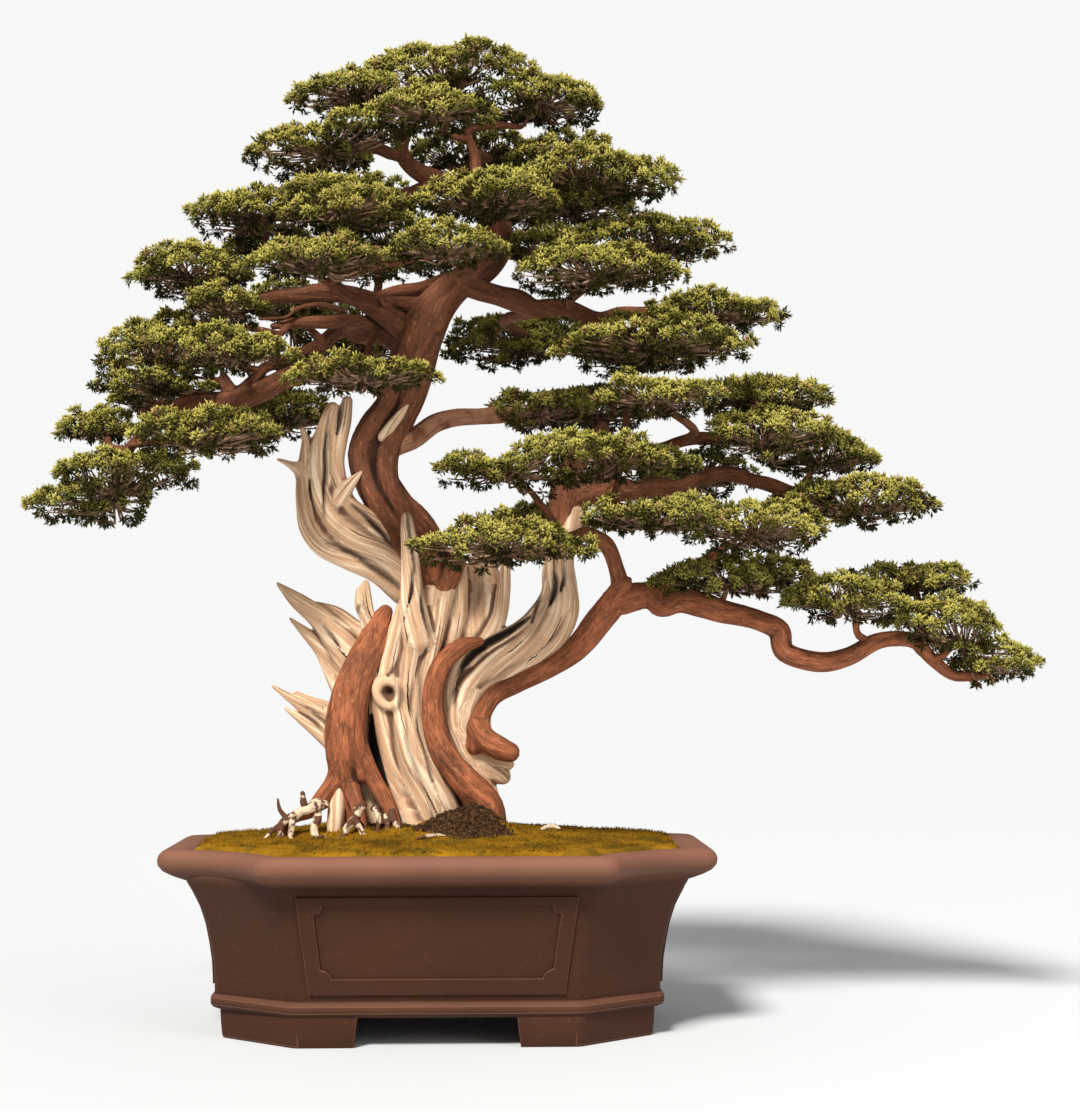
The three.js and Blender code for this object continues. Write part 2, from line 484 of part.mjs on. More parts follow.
addPart('soil', filling(GRAVEL_TOP + GAP, SOIL_EDGE).subtract(taken), EARTH);
addPart('moss', filling(GRAVEL_TOP, SOIL_EDGE + MOSS_THICKNESS).subtract(bed(0, SOIL_EDGE + GAP))
  .subtract(taken), MOSS);
addPart('trunk', trunk, DEADWOOD);

for (const name of Object.keys(BRANCHES)) {
  const limbs = woodOf(name);
  addPart(name, merge(limbs).subtract(taken), BARK);
  taken = taken.add(merge(limbs, GAP));
}

for (const [name, , lobes] of FOLIAGE) {
  addPart(name, padSolid(lobes).subtract(taken), LEAVES);
  taken = taken.add(padSolid(lobes, GAP));
}

// The origin goes to the middle of the bottom of the box round everything.
const box = new THREE.Box3().setFromObject(group);
group.position.set(-(box.min.x + box.max.x) / 2, -(box.min.y + box.max.y) / 2, -box.min.z);
group.updateMatrixWorld(true);

export default group;
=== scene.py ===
import itertools
import math

import bpy
import numpy as np
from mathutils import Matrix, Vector, kdtree


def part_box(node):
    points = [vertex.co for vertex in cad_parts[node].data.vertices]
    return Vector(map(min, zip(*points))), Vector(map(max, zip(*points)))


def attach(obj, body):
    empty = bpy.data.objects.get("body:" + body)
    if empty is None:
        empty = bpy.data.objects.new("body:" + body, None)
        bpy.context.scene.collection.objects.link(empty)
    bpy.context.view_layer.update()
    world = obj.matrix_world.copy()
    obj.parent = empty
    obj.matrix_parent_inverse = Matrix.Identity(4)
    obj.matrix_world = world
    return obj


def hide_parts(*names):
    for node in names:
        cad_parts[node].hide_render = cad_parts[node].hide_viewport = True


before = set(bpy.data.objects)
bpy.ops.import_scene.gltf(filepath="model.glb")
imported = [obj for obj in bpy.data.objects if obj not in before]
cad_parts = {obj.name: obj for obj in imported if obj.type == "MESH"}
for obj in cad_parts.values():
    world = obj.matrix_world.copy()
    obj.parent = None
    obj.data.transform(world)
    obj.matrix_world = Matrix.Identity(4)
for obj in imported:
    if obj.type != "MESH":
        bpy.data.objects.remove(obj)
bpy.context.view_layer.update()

bl_info = {
    "name": "Potted Juniper Bonsai",
    "version": (1, 0, 0),
    "blender": (4, 5, 0),
    "location": "View3D > Sidebar > Bonsai",
    "description": "An old juniper with deadwood, live veins and foliage pads in a clay pot",
    "category": "Add Mesh",
}

POT_LOW, POT_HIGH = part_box("pot")
POT_CENTRE = Vector(((POT_LOW.x + POT_HIGH.x) / 2, (POT_LOW.y + POT_HIGH.y) / 2, POT_LOW.z))
MM = 0.001

# ---- wood, in millimetres from the middle of the pot's foot: stations are (x, y, z, radius) -------
# Bleached strands that make up the deadwood of the trunk.
DEADWOOD = {
    "heart": [(-19, 18, 190, 55), (-28, 14, 273, 49), (-35, 12, 324, 43), (-37, 10, 369, 37),
              (-28, 10, 414, 35), (-12, 12, 454, 35), (-8, 15, 488, 31), (-17, 18, 519, 26)],
    "left_flow": [(-18, -8, 205, 22), (-40, -14, 257, 20), (-55, -18, 291, 18), (-62, -20, 325, 16),
                  (-64, -22, 358, 15), (-59, -24, 392, 15), (-48, -26, 425, 13), (-37, -30, 458, 12)],
    "middle_flow": [(-3, -14, 205, 19), (-18, -22, 255, 17), (-33, -26, 289, 16), (-40, -28, 323, 14),
                    (-43, -28, 356, 13), (-38, -30, 389, 12), (-30, -32, 423, 12), (-27, -32, 456, 11)],
    "right_flow": [(13, -10, 210, 17), (0, -18, 257, 15), (-13, -24, 287, 13), (-23, -26, 318, 12),
                   (-25, -26, 351, 11), (-20, -28, 383, 10), (-11, -26, 412, 10), (-4, -22, 438, 10),
                   (1, -16, 463, 10), (6, -8, 484, 9)],
    "spire": [(-25, -30, 425, 17), (-30, -36, 464, 15), (-32, -40, 500, 11), (-34, -42, 530, 9),
              (-36, -43, 550, 8), (-37, -44, 560, 6)],
    "pale_edge": [(11, -10, 335, 7), (10, -10, 365, 8), (19, -10, 394, 8), (39, -10, 412, 8),
                  (69, -8, 428, 8), (96, -6, 446, 7), (115, -2, 470, 6), (122, 2, 493, 4)],
    "limb_flow": [(56, -8, 225, 17), (33, -8, 299, 17), (21, -8, 335, 15), (31, -6, 369, 15),
                  (60, -4, 395, 16), (96, -2, 418, 17), (120, 0, 444, 17), (132, 4, 471, 16),
                  (130, 10, 499, 16), (138, 20, 534, 16), (149, 28, 570, 15)],
    "limb_under": [(70, -14, 273, 9), (48, -16, 295, 10), (31, -16, 324, 9), (37, -14, 356, 8),
                   (67, -10, 379, 9), (103, -6, 402, 10), (131, -2, 425, 10), (146, 4, 455, 10),
                   (146, 10, 485, 9), (142, 18, 517, 8)],
    "fold": [(78, -14, 286, 5), (58, -18, 292, 8), (38, -20, 310, 8), (28, -20, 338, 7),
             (38, -18, 366, 5)],
    "fold_low": [(72, -10, 270, 4), (52, -16, 277, 8), (34, -20, 296, 7), (22, -20, 322, 5)],
    "flank": [(32, 20, 200, 34), (26, 18, 289, 33), (26, 15, 335, 30), (40, 12, 371, 25),
              (73, 10, 401, 22), (106, 10, 423, 19), (126, 10, 451, 17), (133, 12, 477, 16)],
    "ear_inner": [(6, -8, 408, 11), (14, -6, 436, 12), (20, -2, 464, 11), (22, 2, 492, 9), (22, 6, 518, 6)],
    "ear_outer": [(34, -6, 402, 10), (54, -4, 426, 11), (66, 0, 452, 9), (71, 4, 480, 8),
                  (73, 8, 506, 6), (74, 10, 522, 3)],
    "ear_back": [(24, 14, 400, 26), (36, 20, 440, 27), (44, 26, 478, 25), (48, 30, 512, 16)],
    "hook_edge": [(-43, 2, 480, 15), (-70, 0, 502, 14), (-104, 0, 518, 14), (-130, -4, 532, 14),
                  (-145, -8, 551, 13), (-150, -10, 577, 12), (-151, -10, 605, 11), (-150, -8, 633, 9),
                  (-152, -7, 650, 5), (-156, -6, 662, 3)],
    "hook_middle": [(-36, -6, 495, 13), (-63, -8, 520, 13), (-97, -10, 538, 12), (-119, -12, 558, 12),
                    (-131, -14, 582, 13), (-136, -14, 610, 13), (-134, -12, 638, 12),
                    (-129, -10, 663, 10), (-122, -9, 686, 7)],
    "hook_upper": [(-30, -2, 513, 14), (-52, -4, 535, 13), (-79, -6, 557, 13), (-103, -8, 574, 12),
                   (-115, -9, 594, 12), (-121, -8, 622, 12), (-117, -6, 648, 11), (-110, -4, 672, 9),
                   (-106, -3, 695, 6)],
    "hook_heart": [(-19, 16, 480, 30), (-48, 13, 511, 28), (-82, 10, 535, 27), (-116, 6, 554, 26),
                   (-136, 2, 581, 19), (-138, 0, 615, 19), (-134, 0, 642, 15), (-125, 0, 672, 8)],
    "hook_jin": [(-140, -8, 600, 12), (-157, -12, 615, 8), (-170, -14, 622, 4), (-182, -15, 627, 2)],
    "hook_spike": [(-124, -12, 573, 12), (-109, -15, 591, 9), (-99, -17, 602, 6), (-89, -18, 613, 2)],
    "wing_top": [(-85, 14, 388, 22), (-109, 24, 420, 19), (-136, 34, 449, 13), (-164, 42, 471, 9),
                 (-188, 50, 491, 2)],
    "wing_inner": [(-78, 20, 420, 16), (-96, 28, 436, 12), (-118, 36, 456, 8), (-140, 42, 468, 2)],
    "wing_middle": [(-95, 18, 370, 17), (-121, 28, 403, 12), (-145, 36, 426, 8), (-172, 44, 450, 2)],
    "wing_lower": [(-100, 16, 352, 15), (-122, 24, 385, 9), (-136, 30, 409, 5), (-143, 34, 427, 2)],
    "fan_middle": [(-104, 4, 303, 16), (-128, 14, 335, 11), (-158, 20, 353, 7), (-190, 26, 373, 2)],
    "fan_top": [(-104, 6, 322, 14), (-128, 16, 346, 9), (-146, 20, 355, 6), (-163, 24, 366, 2)],
    "fan_lower": [(-106, 4, 296, 12), (-131, 14, 317, 9), (-153, 18, 333, 6), (-175, 22, 348, 2)],
    "broken_top": [(-64, -16, 410, 16), (-73, -18, 428, 13), (-80, -19, 446, 9), (-83, -20, 462, 8),
                   (-84, -20, 476, 7), (-83, -21, 488, 4)],
    "broken_fringe": [(-72, -20, 426, 9), (-78, -22, 446, 6), (-89, -22, 462, 6), (-90, -20, 480, 4)],
    "behind_vein": [(-80, 10, 200, 34), (-84, 12, 270, 28), (-84, 14, 330, 25), (-78, 14, 384, 22)],
    "root_strip": [(-108, -28, 276, 7), (-112, -31, 252, 9), (-114, -34, 228, 9), (-117, -38, 204, 7)],
    "trunk_jin": [(-63, -12, 654, 8), (-54, -20, 667, 6), (-45, -26, 677, 5), (-37, -30, 687, 2)],
}
# Slits and hollows in the deadwood: stations, how much they reach in depth, and how dark the painted shade on
# their walls is.
HOLLOWS = [
    ([(-72, -26, 350, 0.6), (-77, -24, 326, 6), (-73, -24, 292, 9), (-63, -28, 258, 7), (-47, -32, 226, 3)],
     0.6, 1.0),
    ([(15, -24, 352, 0.5), (19, -23, 376, 2.5), (29, -21, 401, 3.8), (48, -19, 418, 4), (74, -16, 433, 3.4),
      (100, -12, 450, 0.5)], 0.5, 1.0),
    ([(-128, -20, 532, 0.4), (-101, -19, 521, 2.6), (-74, -18, 503, 3), (-46, -16, 482, 0.5)], 0.6, 0.8),
    ([(-100, -20, 575, 0.4), (-73, -18, 551, 2.4), (-44, -17, 522, 0.5)], 0.6, 0.8),
    ([(-124, -22, 690, 0.4), (-128, -22, 655, 2), (-129, -24, 614, 2.2), (-131, -26, 560, 0.4)], 0.6, 0.6),
    ([(-143, -18, 630, 0.3), (-146, -20, 592, 1.8), (-139, -21, 555, 0.4)], 0.6, 0.4),
    ([(-113, -14, 700, 1.2), (-114, -14, 676, 1.8), (-120, -14, 640, 0.3)], 0.6, 0.7),
    ([(33, -24, 436, 9), (42, -16, 470, 15), (48, -10, 508, 18)], 0.9, 0.3),
    ([(112, -12, 506, 0.4), (110, -12, 474, 2.2), (102, -12, 444, 0.4)], 0.6, 0.9),
    ([(124, -10, 514, 0.5), (128, -10, 484, 2.6), (120, -8, 454, 0.4)], 0.6, 0.9),
    ([(138, -6, 530, 0.4), (139, -6, 496, 2), (130, -8, 466, 0.4)], 0.6, 0.7),
    ([(-38, -46, 356, 0.4), (-37, -45, 312, 1.8), (-22, -43, 268, 2.2), (-4, -39, 232, 0.8)], 0.6, 0.5),
    ([(-12, -38, 436, 0.4), (-22, -39, 384, 1.6), (-24, -39, 326, 1.8), (-8, -36, 268, 0.5)], 0.6, 0.5),
    ([(-36, -48, 430, 0.4), (-50, -43, 396, 1.7), (-66, -40, 372, 0.4)], 0.6, 0.55),
    ([(-20, -48, 500, 0.3), (-20, -47, 462, 1.8), (-12, -42, 426, 0.4)], 0.6, 0.65),
    ([(-36, -52, 566, 1.4), (-34, -52, 534, 1.5), (-28, -50, 498, 0.3)], 0.6, 0.7),
    ([(-30, -52, 508, 0.3), (-32, -50, 474, 1.6), (-40, -44, 444, 0.4)], 0.6, 0.8),
    ([(2, -30, 330, 0.3), (0, -30, 290, 1.6), (14, -30, 250, 0.8)], 0.6, 0.4),
    ([(-160, 22, 466, 0.3), (-134, 12, 440, 2), (-106, 4, 408, 0.6)], 0.6, 0.7),
    ([(-146, 16, 428, 0.3), (-126, 8, 402, 2.2), (-116, 4, 372, 0.5)], 0.6, 0.8),
    ([(-168, 6, 362, 0.3), (-142, 4, 342, 1.8), (-116, -4, 322, 0.5)], 0.6, 0.8),
    ([(-84, -34, 494, 1.8), (-85, -32, 470, 1.3), (-80, -32, 446, 0.3)], 0.8, 0.7),
    ([(-96, -26, 452, 2.6), (-90, -28, 462, 1.2)], 0.8, 0.6),
    ([(-57, -56, 366, 8.5), (-57, -46, 366, 7.5)], 1.0, 0.3),
    ([(-57, -54, 366, 4), (-56, -36, 368, 2.6)], 1.0, 0.75),
    ([(-46, -50, 376, 0.6), (-42, -46, 362, 2.6), (-46, -44, 346, 0.6)], 0.7, 0.5),
]
# The rolled ring of wood round the small knot hole on the front.
KNOT_EYE = {"centre": (-57, -41, 366), "radius": 12.0, "thick": 4.2, "blend": 8.0}
# Live bark that runs up between and over the deadwood.
LIVE_WOOD = {
    "left_vein": [(-92, -22, 200, 12), (-94, -24, 232, 11), (-99, -26, 256, 12), (-103, -26, 276, 15),
                  (-105, -26, 298, 20), (-103, -26, 330, 21), (-98, -26, 364, 20), (-86, -25, 398, 18),
                  (-76, -23, 418, 17), (-69, -21, 440, 13), (-61, -18, 456, 8)],
    "left_vein_rib": [(-84, -34, 276, 8), (-90, -36, 308, 9), (-90, -37, 342, 9), (-84, -36, 376, 9),
                      (-72, -33, 408, 8), (-62, -28, 432, 6)],
    "left_vein_swell": [(-116, -32, 296, 8), (-118, -34, 322, 9), (-114, -34, 350, 8), (-106, -33, 378, 6)],
    "left_root": [(-108, -28, 286, 12), (-118, -32, 266, 10), (-130, -36, 250, 9), (-141, -40, 237, 8),
                  (-160, -46, 229, 6), (-172, -50, 214, 5)],
    "front_root": [(-90, -30, 308, 11), (-81, -34, 287, 10), (-72, -36, 270, 9), (-61, -40, 252, 9),
                   (-53, -44, 234, 8), (-47, -48, 212, 7)],
    "foot_root": [(-97, -34, 262, 8), (-90, -44, 242, 8), (-86, -52, 222, 7), (-84, -58, 204, 5)],
    "central_vein": [(48, -24, 205, 26), (50, -26, 232, 22), (45, -28, 248, 19), (32, -31, 264, 17),
                     (15, -34, 284, 15), (1, -36, 306, 14), (-7, -34, 336, 12), (-8, -32, 364, 11.5),
                     (-2, -32, 390, 11), (9, -30, 406, 10), (25, -28, 418, 9), (44, -22, 423, 5)],
    "right_vein": [(40, -26, 308, 11), (44, -28, 334, 10), (58, -22, 361, 10), (84, -14, 376, 11),
                   (122, -8, 394, 12), (153, -2, 415, 14), (180, 4, 448, 15), (208, 10, 482, 15)],
    "vein_stub": [(42, -30, 328, 12), (50, -34, 315, 13), (64, -37, 306, 13.5), (77, -38, 301, 11.5)],
    "shoulder": [(-14, -8, 448, 9), (-2, -9, 472, 11), (8, -8, 492, 12), (16, -4, 512, 12)],
    "upper_trunk": [(-1, 12, 454, 25), (-10, 10, 496, 28), (-28, 10, 539, 28), (-55, 10, 575, 25),
                    (-74, 10, 607, 24), (-80, 10, 635, 25), (-72, 9, 663, 24), (-52, 8, 690, 25),
                    (-38, 5, 725, 26), (-25, 0, 764, 25), (-8, -5, 799, 22), (18, 0, 828, 18),
                    (52, 5, 853, 16), (66, 5, 880, 15), (58, 5, 910, 16), (33, 5, 934, 14),
                    (0, 5, 949, 12), (-30, 5, 962, 10), (-46, 5, 985, 8), (-33, 5, 1020, 6),
                    (-8, 5, 1056, 4)],
    "trunk_rib": [(-23, -8, 493, 14), (-43, -9, 532, 13), (-66, -10, 571, 11), (-83, -8, 605, 10),
                  (-89, -6, 639, 10), (-78, -8, 667, 11), (-58, -10, 697, 11), (-46, -12, 735, 10),
                  (-30, -14, 770, 8)],
    "trunk_rib_right": [(-42, -4, 562, 12), (-58, -8, 600, 12), (-59, -10, 635, 12), (-46, -8, 664, 12),
                        (-32, -8, 698, 12), (-22, -10, 734, 11), (-8, -12, 775, 9)],
    "second_trunk": [(134, 20, 530, 13), (141, 28, 570, 17), (144, 30, 600, 18), (150, 31, 622, 15),
                     (162, 32, 642, 13), (184, 35, 668, 10)],
}
# Shoots that leave the upper trunk, among the crown's foliage.
TRUNK_SHOOTS = [
    [(-48, 5, 978, 7), (-85, -5, 985, 6), (-120, -20, 972, 5)],
    [(55, 5, 915, 8), (105, 0, 930, 7), (150, -15, 935, 5)],
    [(38, 5, 930, 7), (38, 0, 975, 6), (30, -5, 1005, 5), (62, -5, 1012, 4), (90, -5, 1010, 3)],
    [(0, 5, 950, 8), (-60, 0, 925, 7), (-130, -5, 905, 6), (-190, 0, 905, 5)],
    [(62, 5, 870, 8), (120, 10, 865, 7), (190, 5, 868, 5)],
]
# Branches whose bark has weathered grey.
GREYED_BRANCHES = ("branch_right_grey",)
# The primary branches: the main limb first, then its side shoots.
BRANCHES = {
    "branch_left_low": [[(-52, -2, 710, 19), (-80, -14, 722, 15), (-105, -26, 727, 14), (-135, -36, 728, 13),
                         (-158, -38, 721, 13), (-197, -36, 703, 12), (-231, -32, 691, 11),
                         (-251, -28, 693, 8), (-275, -25, 692, 8), (-320, -20, 666, 8), (-355, -12, 632, 6)],
                        [(-228, -32, 692, 9), (-237, -32, 708, 7), (-242, -33, 720, 4)],
                        [(-236, -33, 704, 5), (-246, -35, 712, 4), (-258, -36, 714, 2)],
                        [(-225, -32, 700, 6), (-195, -34, 728, 6), (-166, -34, 738, 7), (-142, -30, 750, 8)],
                        [(-142, -30, 748, 8), (-133, -30, 756, 6), (-137, -32, 764, 4)]],
    "branch_left_mid": [[(-36, 4, 775, 16), (-59, 8, 793, 13), (-77, 10, 806, 13), (-95, 12, 815, 11),
                         (-113, 14, 820, 10), (-138, 16, 822, 10), (-165, 18, 819, 9), (-230, 15, 812, 8),
                         (-280, 5, 805, 6)],
                        [(-77, 10, 806, 9), (-100, -50, 803, 7), (-120, -95, 812, 5)],
                        [(-12, 0, 800, 12), (-46, 4, 807, 8), (-80, 10, 807, 8)],
                        [(-80, 12, 810, 9), (-52, 18, 823, 8), (-21, 24, 829, 8), (8, 26, 842, 7)],
                        [(-40, 18, 762, 9), (-70, 18, 783, 6), (-106, 14, 790, 7), (-124, 12, 787, 8),
                         (-158, 10, 786, 7), (-175, 8, 784, 5), (-190, 0, 780, 4)],
                        [(-172, 6, 784, 4), (-182, -4, 771, 4), (-197, -8, 773, 4), (-224, -12, 777, 4),
                         (-249, -14, 772, 4), (-262, -14, 763, 3)],
                        [(-112, 8, 800, 3), (-124, 6, 803, 4), (-142, 4, 806, 3), (-164, 0, 800, 3),
                         (-176, -3, 790, 2), (-205, -6, 787, 2)],
                        [(-74, 18, 782, 5), (-82, 20, 764, 4), (-84, 22, 746, 4), (-86, 22, 728, 3)],
                        [(-84, 21, 752, 4), (-104, 24, 741, 3), (-122, 28, 738, 3), (-142, 34, 740, 2)]],
    "branch_left_back": [[(-38, 8, 765, 13), (-80, 60, 785, 12), (-130, 110, 790, 9), (-175, 140, 750, 7),
                          (-200, 145, 712, 6)]],
    "branch_right_high": [[(25, 0, 830, 13), (65, -5, 815, 11), (105, -8, 800, 10), (145, -5, 801, 9),
                           (178, 0, 790, 9), (230, 5, 798, 8), (285, 5, 800, 6)]],
    "branch_right_grey": [[(-55, 0, 648, 16), (-30, 0, 655, 12), (-8, 10, 672, 11), (15, 20, 680, 10),
                           (40, 30, 682, 9), (85, 40, 686, 8)]],
    "branch_right_mid": [[(148, 30, 588, 14), (180, 25, 596, 13), (225, 20, 596, 11), (270, 10, 598, 10),
                          (312, 5, 614, 9), (372, 0, 602, 8), (420, 0, 583, 7)],
                         [(168, 28, 600, 9), (210, 10, 630, 8), (270, -5, 650, 7), (330, -20, 655, 6)],
                         [(200, 22, 595, 8), (190, -40, 580, 7), (205, -95, 560, 5)]],
    "branch_right_back": [[(158, 33, 635, 12), (185, 85, 650, 10), (210, 140, 650, 8), (260, 165, 640, 6)]],
    "branch_right_low": [[(198, 9, 470, 16), (235, 5, 476, 14), (295, 0, 466, 14), (345, 0, 452, 12),
                          (383, 0, 436, 12), (390, 0, 412, 11), (428, 0, 401, 11), (462, 0, 407, 10),
                          (497, 0, 424, 9), (535, 0, 424, 8), (556, 0, 404, 7), (580, 0, 386, 6),
                          (620, 0, 384, 4)],
                         [(208, 10, 470, 12), (200, 8, 505, 9), (188, -2, 532, 9), (165, -18, 543, 8),
                          (130, -45, 536, 6)],
                         [(240, 5, 474, 9), (258, 0, 488, 8), (275, -10, 497, 6)],
                         [(545, 4, 415, 6), (552, 20, 440, 5), (548, 35, 480, 4)]],
}
# Small dead roots and sticks that lie on the moss at the foot of the tree.
SURFACE_ROOTS = [
    [(-128, -42, 244, 8), (-150, -52, 237, 6.5), (-167, -58, 228, 5.5), (-172, -66, 214, 5),
     (-176, -70, 200, 4)],
    [(-166, -56, 230, 4), (-174, -54, 240, 3), (-176, -52, 251, 1.5)],
    [(-156, -56, 232, 4.5), (-160, -66, 218, 4), (-158, -74, 202, 3)],
    [(-168, -58, 226, 4), (-184, -62, 214, 3), (-192, -66, 204, 2)],
    [(-146, -46, 238, 5), (-149, -44, 248, 4.5), (-150, -43, 257, 3)],
    [(-84, -48, 244, 6), (-90, -58, 232, 5), (-101, -70, 219, 4.5), (-111, -78, 205, 4)],
    [(-92, -62, 230, 4), (-84, -74, 218, 3.8), (-80, -80, 204, 3)],
    [(-72, -46, 240, 5), (-66, -56, 228, 4), (-68, -64, 214, 3)],
    [(-52, -50, 238, 5), (-47, -58, 224, 4.5), (-43, -64, 206, 3.5)],
    [(-58, -52, 232, 4), (-56, -62, 218, 3.5), (-58, -68, 206, 2.5)],
    [(-134, -44, 236, 6), (-136, -58, 222, 5), (-132, -68, 206, 4)],
    [(-122, -96, 213, 2.4), (-132, -98, 213, 1.6)],
    [(-24, -104, 211, 1.6), (-12, -102, 214, 3.2), (-2, -100, 215, 2.8), (8, -98, 214, 1.2)],
    [(112, -62, 218, 2.4), (120, -60, 221, 3.4), (128, -60, 220, 2.8), (134, -62, 217, 1.2)],
]


def place(points):
    """Millimetres from the middle of the pot's foot, as metres in the shared frame."""
    return np.asarray(points, float) * MM + np.array(POT_CENTRE)


# ---- shapes and meshes -------------------------------------------------------------------------
def lattice_noise(points, seed=0):
    """Smooth value noise from 0 to 1 at each of the points."""
    cell = np.floor(points).astype(np.int64)
    blend = points - cell
    blend = blend * blend * (3 - 2 * blend)
    total = np.zeros(len(points))
    for corner in itertools.product((0, 1), repeat=3):
        at = cell + np.array(corner)
        key = at[:, 0] * 374761393 + at[:, 1] * 668265263 + at[:, 2] * 1440662683 + seed * 974634777
        key = ((key ^ (key >> 13)) * 1274126177) & 0xFFFFFFFF
        key = key ^ (key >> 16)
        weight = np.prod(np.where(np.array(corner) == 1, blend, 1 - blend), axis=1)
        total += weight * (key / 0xFFFFFFFF)
    return total


def layered_noise(points, octaves=3, seed=0):
    """Value noise with finer layers on top, from 0 to 1."""
    total = np.zeros(len(points))
    weight, reach = 1.0, 0.0
    for octave in range(octaves):
        total += weight * lattice_noise(points * 2.0 ** octave, seed + octave)
        reach += weight
        weight *= 0.5
    return total / reach


def make_mesh(name, verts, tris=None, quads=None, values=None):
    """A mesh object from arrays, with per-vertex values kept as attributes."""
    mesh = bpy.data.meshes.new(name)
    tris = np.zeros((0, 3), np.int32) if tris is None else np.asarray(tris, np.int32)
    quads = np.zeros((0, 4), np.int32) if quads is None else np.asarray(quads, np.int32)
    corners = np.concatenate([tris.ravel(), quads.ravel()])
    starts = np.concatenate([np.arange(len(tris)) * 3, len(tris) * 3 + np.arange(len(quads)) * 4])
    mesh.vertices.add(len(verts))
    mesh.vertices.foreach_set("co", np.asarray(verts, np.float32).ravel())
    mesh.loops.add(len(corners))
    mesh.loops.foreach_set("vertex_index", corners)
    mesh.polygons.add(len(starts))
    mesh.polygons.foreach_set("loop_start", starts.astype(np.int32))
    mesh.update(calc_edges=True)
    for key, data in (values or {}).items():
        mesh.attributes.new(key, "FLOAT", "POINT").data.foreach_set("value", np.asarray(data, np.float32))
    piece = bpy.data.objects.new(name, mesh)
    bpy.context.scene.collection.objects.link(piece)
    return piece


def only(piece):
    """Makes one object the only one selected, and the active one."""
    bpy.ops.object.select_all(action="DESELECT")
    piece.select_set(True)
    bpy.context.view_layer.objects.active = piece


def settle(piece, material, nodes):
    """Gives a finished piece its material and its body, and hides the nodes that it stands for."""
    piece.data.materials.clear()
    piece.data.materials.append(material)
    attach(piece, "root")
    if nodes:
        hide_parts(*nodes)


def smooth_by_angle(piece, degrees):
    only(piece)
    bpy.ops.object.shade_smooth_by_angle(angle=math.radians(degrees))


def spline(stations, step):
    """Points and radii along a smooth curve through the stations, about a step apart."""
    knots = np.asarray(stations, float)
    ends = np.vstack([2 * knots[0] - knots[1], knots, 2 * knots[-1] - knots[-2]])
    out = []
    for i in range(len(knots) - 1):
        a, b, c, d = ends[i:i + 4]
        count = max(2, int(np.linalg.norm(c[:3] - b[:3]) / step))
        t = np.linspace(0, 1, count, endpoint=False)[:, None]
        out.append(0.5 * (2 * b + (c - a) * t + (2 * a - 5 * b + 4 * c - d) * t ** 2
                          + (3 * b - a - 3 * c + d) * t ** 3))
    out = np.vstack(out + [knots[-1:]])
    return out[:, :3], np.maximum(out[:, 3], knots[:, 3].min() * 0.8)


def carried_frames(centres):
    """Tangent, normal and binormal along a curve, without any twist."""
    tangents = np.gradient(centres, axis=0)
    tangents /= np.linalg.norm(tangents, axis=1)[:, None]
    normal = np.cross(tangents[0], (0.3, 1.0, 0.2))
    normals = []
    for tangent in tangents:
        normal = normal - tangent * normal.dot(tangent)
        normal /= np.linalg.norm(normal)
        normals.append(normal)
    normals = np.array(normals)
    return tangents, normals, np.cross(tangents, normals)


OUTSIDE = 60.0


